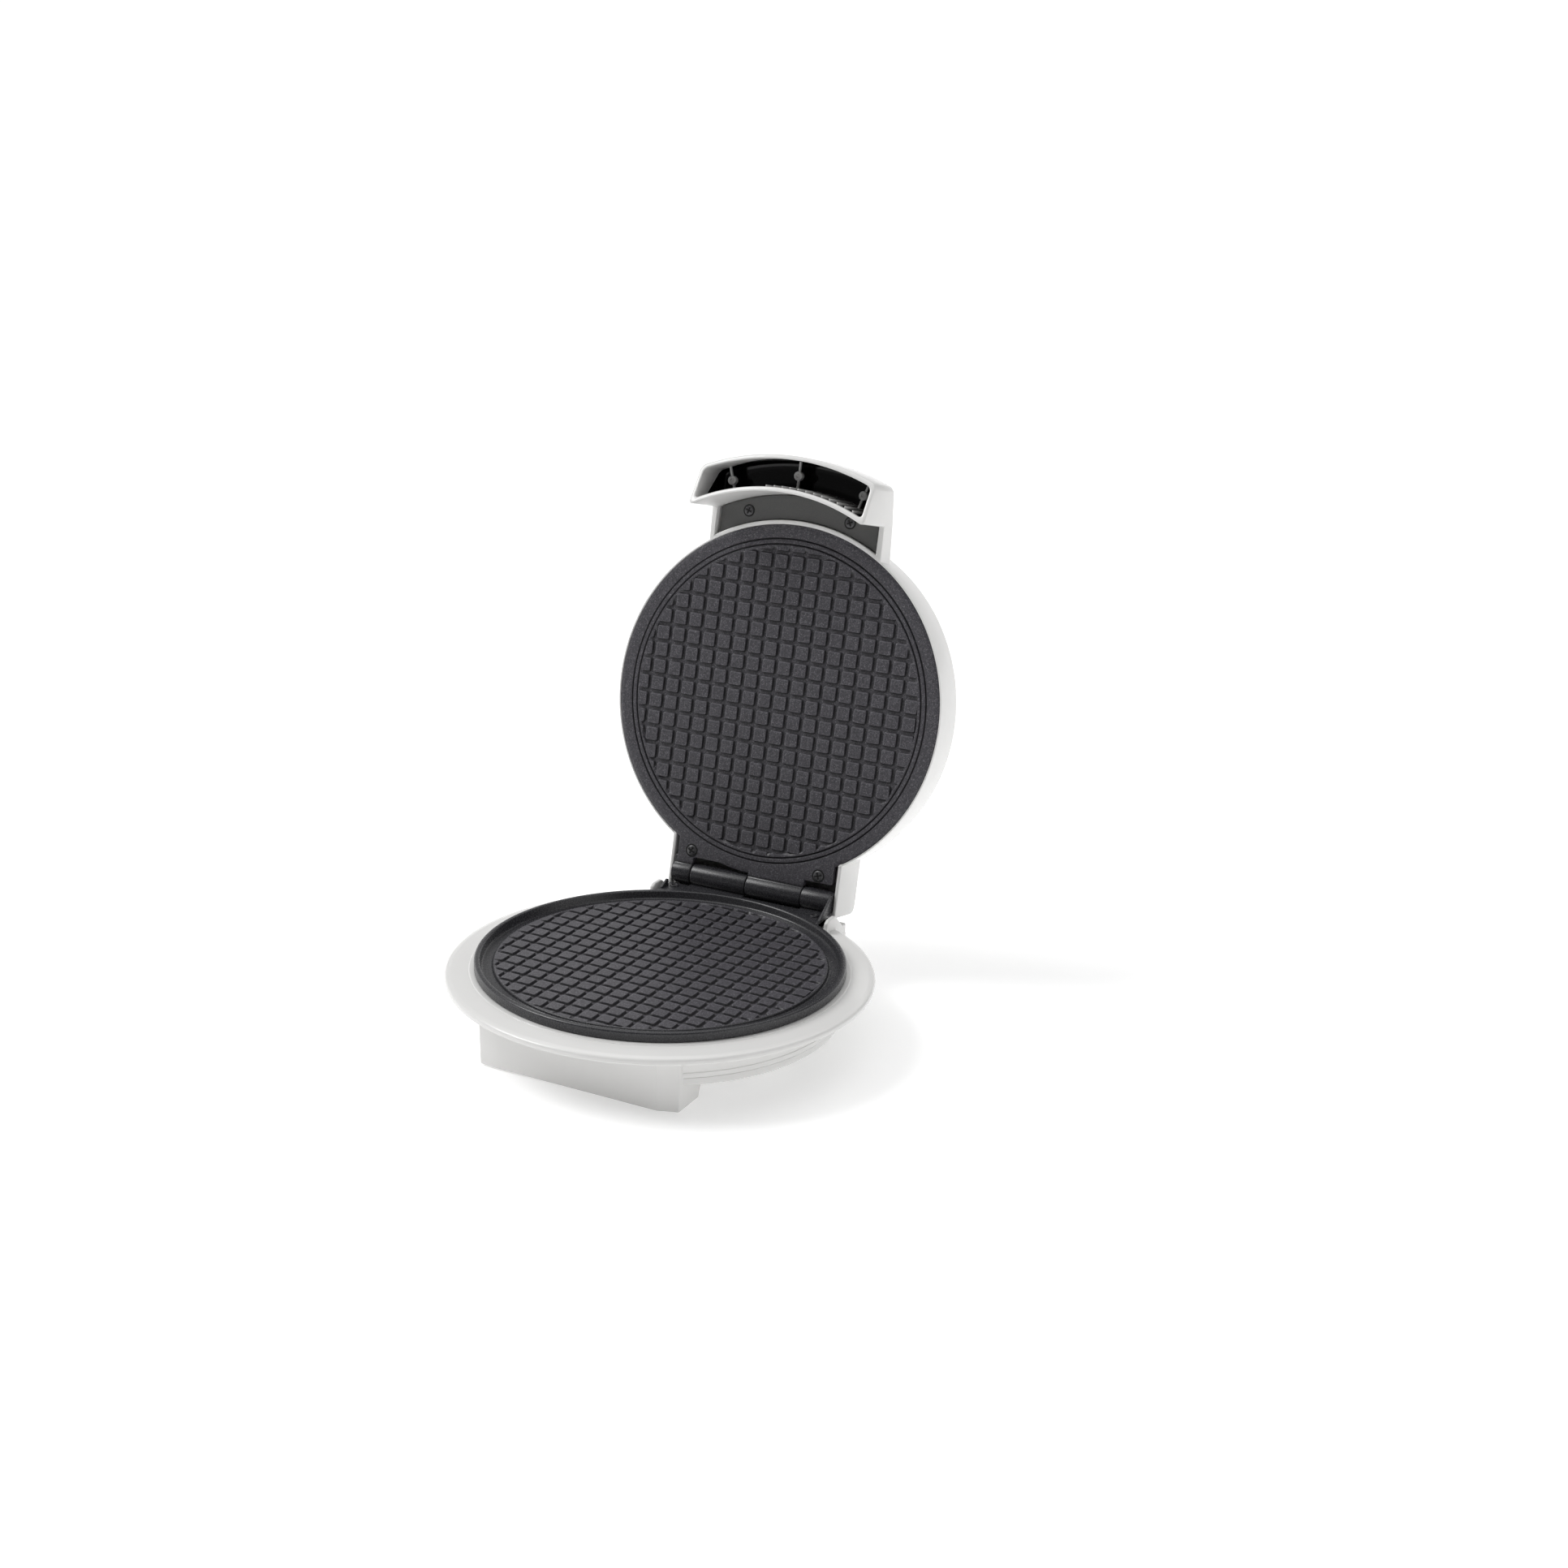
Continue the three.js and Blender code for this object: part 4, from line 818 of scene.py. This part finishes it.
boss_outline = filleted([(0, -3.0), (2.6, -3.0), (2.6, -6.0), (1.1, -6.0), (0.95, -5.2), (0, -5.2)],
                        [0, 0, 0.35, 0.15, 0.1, 0], shut=False)


stem_outline = filleted([(0, 6.5), (2.7, 6.5), (2.55, -3.6), (0, -3.6)], [0, 0, 0.1, 0], shut=False)


def spot_at(x, r, z=0.0):
    """One point on the handle, x across it and r from the plate's axis."""
    return bent(np.array(x), np.array(r), np.array(z))


def bar_plan(centre, direction, start, end, half):
    """A rectangle from start to end along a direction through centre, half as wide each side."""
    side = np.array([-direction[1], direction[0]])
    return [centre + direction * a + side * b
            for a, b in ((start, -half), (end, -half), (end, half), (start, half))]


fronts, stems, ribs = [], [], []
for x in (-41.0, 0.0, 41.0):
    centre = spot_at(x, GRIP_MID)
    reach = (HOOD_OUT - HOOD_IN) / 2 - WALL + 0.6
    plan = bar_plan(centre[:2], centre[:2] / np.linalg.norm(centre[:2]), -reach, reach, 0.6)
    boss, boss_faces = disc_solid(boss_outline, steps=40)
    stem, stem_faces = disc_solid(stem_outline, steps=40)
    fronts += [(boss + centre, boss_faces), slab(plan, -5.0, -3.4, 0.3, 0.1, 0.2)]
    stems += [slab(plan, -3.4, 6.5, 0.0, 0.1, 0.2), (stem + centre, stem_faces)]
for x in np.arange(-9.0, 47.0, 4.9):
    y_in, y_out = (spot_at(x, HOOD_IN + WALL + t)[1] for t in (-0.5, 1.1))
    ribs.append(slab([(x - 0.4, y_out), (x + 0.4, y_out), (x + 0.4, y_in), (x - 0.4, y_in)],
                     -26.5, 5.5, 0.5, 0.1, 0.2))
hood_inside = joined("hood_bosses_and_ribs", fronts + ribs, on_lid, white, "lid")
# Black stems of the bosses and webs: painted shade deep in the hollow.
hood_stems = joined("hood_boss_stems", stems, on_lid, black, "lid")


# ------------------------------------------------------------------ insert of the handle's root
# A matt dark grey cover sunk in the root, held by two screws; the lamps' wiring runs behind it.
def matt_grey(name):
    """Fine-sparked dark grey plastic."""
    made = Finish(name, Roughness=0.55, IOR=1.46)
    grain = made.noise(0.7, 3.0, 0.6)
    paint = made.mix(grain, (0.070, 0.070, 0.069), (0.100, 0.100, 0.098))
    return made.done(paint, made.noise(1.4, 2.0) * 0.15 + 0.48, grain, 0.03)


grey = matt_grey("insert_matt_grey")


COVER_HALF, COVER_IN, COVER_OUT, COVER_FACE = 49.6, 103.6, 117.6, 2.4


def insert_shell():
    """Loops over the cover's face and edge: flat face, small rounded border, straight sides."""
    loops = [bent_loop(COVER_HALF - inset, COVER_IN + inset, COVER_OUT - inset, 0.8,
                       lambda x, r: COVER_FACE + back, squeeze)
             for inset, back, squeeze in (
                 (1.0, 0, 0.0), (1.0, 0, 0.4), (1.0, 0, 0.8), (0.7, 0, 1.0), (0.35, 0.1, 1.0),
                 (0.1, 0.35, 1.0), (0.0, 0.7, 1.0), (0.0, 2.6, 1.0), (0.4, 2.6, 0.5),
                 (0.4, 2.6, 0.0))]
    return woven(np.array(loops), False, True)


insert = joined("handle_insert_cover", [insert_shell()], on_lid, grey, "lid")
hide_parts("handle_insert")


# ------------------------------------------------------------------ screws
# Cross-recessed pan-head screws: blackened ones hold the insert and the plate's lug, zinc-plated
# ones the bottom cover.
def blackened(name, colour, metallic, roughness):
    """Screw steel with a little handling wear."""
    made = Finish(name, Roughness=roughness, Metallic=metallic)
    wear = made.noise(0.8, 3.0, 0.6)
    paint = made.mix(wear, tuple(c * 0.8 for c in colour), tuple(c * 1.3 for c in colour))
    return made.done(paint, wear * 0.25 + (roughness - 0.12), wear, 0.01)


black_steel = blackened("blackened_steel", (0.085, 0.085, 0.088), 0.5, 0.34)
# Flat black painted shade for the gaps round screw heads and their cross recesses.
painted_shade_black = blackened("screw_painted_shade", (0.006, 0.006, 0.006), 0.0, 0.8)
zinc = blackened("zinc_plated_steel", (0.50, 0.50, 0.51), 1.0, 0.34)


def screw_head(radius, rise, shank, depth):
    """Head as a square-gridded dome whose height falls with radius, a cross sunk in it, and a
    shank that goes depth deep."""
    n = 61
    t = np.linspace(-1, 1, n)
    u, v = np.meshgrid(t, t, indexing="ij")
    r = np.maximum(np.abs(u), np.abs(v))
    angle = np.arctan2(v, u)
    x, y = r * np.cos(angle) * radius, r * np.sin(angle) * radius
    dome = rise * np.sqrt(np.maximum(1 - (r * 0.96) ** 2.6, 0))
    arm_a = np.maximum(np.abs(x) / (radius * 0.14), np.abs(y) / (radius * 0.58))
    arm_b = np.maximum(np.abs(y) / (radius * 0.14), np.abs(x) / (radius * 0.58))
    sunk = np.clip((1.35 - np.minimum(arm_a, arm_b)) / 0.45, 0, 1) * rise * 0.95
    top = np.stack([x, y, -(dome - sunk)], -1)
    index = np.arange(n * n).reshape(n, n)
    border = np.concatenate([index[:-1, 0], index[-1, :-1], index[:0:-1, -1], index[0, :0:-1]])
    ring = top.reshape(-1, 3)[border]
    levels = [(1.0, 0.25), (shank / radius, 0.3), (shank / radius, depth)]
    rings = [ring * [f, f, 0] + [0, 0, z] for f, z in levels]
    points = np.concatenate([top.reshape(-1, 3), *rings])
    around = np.arange(len(border))
    chain = [border] + [n * n + k * len(border) + around for k in range(len(levels))]
    faces = grid_quads(index).tolist()
    for a, b in zip(chain[:-1], chain[1:]):
        faces += np.stack([a, b, np.roll(b, -1), np.roll(a, -1)], -1).tolist()
    faces.append(chain[-1].tolist())
    return points, faces


def fit_screw(node, spot, sizes, place, finish, body, twist, rim=0.0):
    """One screw in place of a node: head at spot towards -z, turned by twist degrees, a black ring
    round it in the surface at rim as painted shade in the gap round the head, and a black cross in
    its recess as painted shade in the recess. sizes are the head's radius and rise, and the shank's
    radius and depth."""
    radius, rise = sizes[:2]
    points, faces = screw_head(*sizes)
    c, s = math.cos(math.radians(twist)), math.sin(math.radians(twist))
    points = points @ np.array([[c, s, 0], [-s, c, 0], [0, 0, 1]]) + spot
    inner, outer = radius * 1.02, radius * 1.30
    ring, ring_faces = ring_solid(
        filleted([(inner, -0.05), (outer, -0.05), (outer, 1.0), (inner, 1.0)], 0.02, 1), steps=48)
    shells = [(ring + spot * [1, 1, 0] + [0, 0, rim], ring_faces)]
    for direction in (np.array([c, s]), np.array([-s, c])):
        plan = bar_plan(spot[:2], direction, -radius * 0.60, radius * 0.60, radius * 0.15)
        shells.append(slab(plan, spot[2] - rise + 0.10, spot[2] - rise + 0.6, 0.1, 0.03, 0.03))
    shade_ring = joined(f"{node}_head_painted_shade", shells, place, painted_shade_black, body)
    head = joined(f"{node}_head", [(points, faces)], place, finish, body, 50)
    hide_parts(node)


for side, name, twist in ((-1, "left", 20.0), (1, "right", 65.0)):
    fit_screw(f"insert_screw_{name}", spot_at(side * 31.8, 110.55, COVER_FACE - 0.05),
              (2.75, 0.9, 1.4, 7.0), on_lid, black_steel, "lid", twist, COVER_FACE)
    fit_screw(f"lug_screw_{name}", np.array([side * 41.0, 94.2, 0.16]),
              (3.0, 1.0, 1.5, 11.0), on_lid, black_steel, "lid", 45 - twist)
for number, (x, y) in enumerate([(-62, -34), (62, -34), (-50, 56), (50, 56)], 1):
    fit_screw(f"cover_screw_{number}", np.array([x, y, BELLY + 0.1]),
              (3.2, 1.0, 1.5, 7.0), on_base, zinc, "base", 25.0 * number, BELLY)


# ------------------------------------------------------------------ lamps in the handle's back
# Two small domed lenses, red for power and green for ready, in the back of the handle's root.
def lens(name, colour):
    """Tinted clear plastic over a moulded prism pattern."""
    made = Finish(name, Roughness=0.12, IOR=1.49)
    ribs = made.cells(0.9)
    paint = made.mix(ribs, colour, tuple(min(1, c * 1.5 + 0.02) for c in colour))
    return made.done(paint, ribs * 0.1 + 0.08, ribs, 0.04)


lens_outline = filleted([(0, 8.0), (3.6, 8.0), (3.6, 15.9), (2.6, 17.2), (0, 17.6)],
                        [0, 0.2, 0.6, 1.2, 0], shut=False)
for x, node, slot, colour in ((-20.0, "power_lamp", "lamp_red", (0.42, 0.02, 0.015)),
                              (20.0, "ready_lamp", "lamp_green", (0.03, 0.30, 0.06))):
    points, faces = disc_solid(lens_outline, steps=48)
    bulb = joined(f"{node}_lens", [(points + spot_at(x, 110.5), faces)], on_lid,
                  lens(f"{node}_tint", colour), "lid")
    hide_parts(node)


# ------------------------------------------------------------------ feet, cord inlet and hinge rod
# Rubber pads are pressed into the block feet, a rubber bush lines the cord's hole, and a drawn
# steel rod passes through all four knuckles.
def rubber(name):
    """Matt black rubber with a dusty, slightly uneven skin."""
    made = Finish(name, Roughness=0.85, IOR=1.5)
    dust = made.noise(3.0, 4.0, 0.6)
    paint = made.mix(dust, (0.020, 0.020, 0.020), (0.045, 0.044, 0.043))
    return made.done(paint, dust * 0.2 + 0.72, dust, 0.05)


pad_rubber = rubber("pad_rubber")
pad_outline = filleted([(0, 0.0), (5.9, 0.0), (5.9, 2.1), (0, 2.1)], [0, 0.5, 0.2, 0], shut=False)
for name, x, y in (("front_left", -47, -74.4), ("front_right", 47, -74.4),
                   ("rear_left", -45, 106.9), ("rear_right", 45, 106.9)):
    points, faces = disc_solid(pad_outline, steps=64)
    pad = joined(f"rubber_pad_{name}", [(points + [x, y, 0], faces)], on_base, pad_rubber, "base")
    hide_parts(f"foot_pad_{name}")

bush_outline = filleted([(-4.9, 3.4), (-4.9, 7.3), (-2.9, 7.3), (-2.9, 5.1), (0.3, 5.1), (0.3, 7.3),
                         (2.0, 7.1), (3.9, 5.3), (3.9, 3.4)],
                        [0.3, 0.3, 0.3, 0.1, 0.1, 0.4, 0.8, 0.6, 0.5])
bush_grid = axled(bush_outline, 72)[..., [1, 0, 2]] + [0, REAR_END, 15.0]
bush = joined("cord_inlet_bush", [woven(bush_grid, True, True)], on_base, pad_rubber, "base")
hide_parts("cord_inlet")


def drawn_steel(name):
    """Bright drawn rod with fine lines along its length."""
    made = Finish(name, Roughness=0.3, Metallic=1.0)
    streak = made.node("ShaderNodeVectorMath", {"operation": "MULTIPLY"},
                       {0: made.place, 1: (0.05, 4.0, 4.0)})
    lines = made.value(made.node("ShaderNodeTexNoise", {}, {
        "Vector": streak.outputs[0], "Scale": 1.0, "Detail": 2.0}))
    paint = made.mix(lines, (0.42, 0.42, 0.43), (0.60, 0.60, 0.61))
    return made.done(paint, lines * 0.2 + 0.2, lines, 0.01)


ROD_HALF, ROD_RADIUS = 51.9, 2.2
rod_outline = filleted([(-ROD_HALF, 0), (-ROD_HALF, ROD_RADIUS), (ROD_HALF, ROD_RADIUS),
                        (ROD_HALF, 0)], [0, 0.4, 0.4, 0], shut=False)
rod_shell = woven(axled(rod_outline, 48) + [0, ROD_Y, BARREL_RISE], True, False)
rod_piece = joined("hinge_rod", [rod_shell], on_base, drawn_steel("drawn_steel"), "base")
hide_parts("hinge_pin")


# ------------------------------------------------------------------ heating and control parts
# Hidden inside the two halves: tubular elements, pressed shields, ceramic thermostats, a fuse and a
# terminal block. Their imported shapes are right, so only their surfaces are finished here.
def heated(name, colour, metallic, roughness, tint):
    """Metal or ceramic with heat tint or dust in soft patches."""
    made = Finish(name, Roughness=roughness, Metallic=metallic)
    patch = made.noise(11.0, 4.0, 0.6)
    fine = made.noise(1.2, 3.0)
    paint = made.mix(patch.over(0.35, 0.7), colour, tint)
    return made.done(paint, fine * 0.2 + (roughness - 0.1), fine, 0.02)


hidden_finishes = {
    "heating_element": heated("element_sheath", (0.13, 0.13, 0.135), 1.0, 0.45, (0.20, 0.14, 0.09)),
    "heat_shield": heated("aluminised_sheet", (0.60, 0.60, 0.60), 1.0, 0.4, (0.52, 0.50, 0.46)),
    "thermostat": heated("ceramic", (0.62, 0.57, 0.47), 0.0, 0.6, (0.55, 0.50, 0.40)),
    "terminal_block": heated("ceramic_block", (0.66, 0.62, 0.54), 0.0, 0.6, (0.58, 0.54, 0.46)),
    "thermal_fuse": heated("fuse_can", (0.55, 0.55, 0.55), 1.0, 0.35, (0.50, 0.48, 0.44)),
}
for node_name, node_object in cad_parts.items():
    for ending, surface in hidden_finishes.items():
        if node_name.endswith(ending):
            if not node_object.material_slots:
                node_object.data.materials.append(surface)
            for material_slot in node_object.material_slots:
                material_slot.material = surface
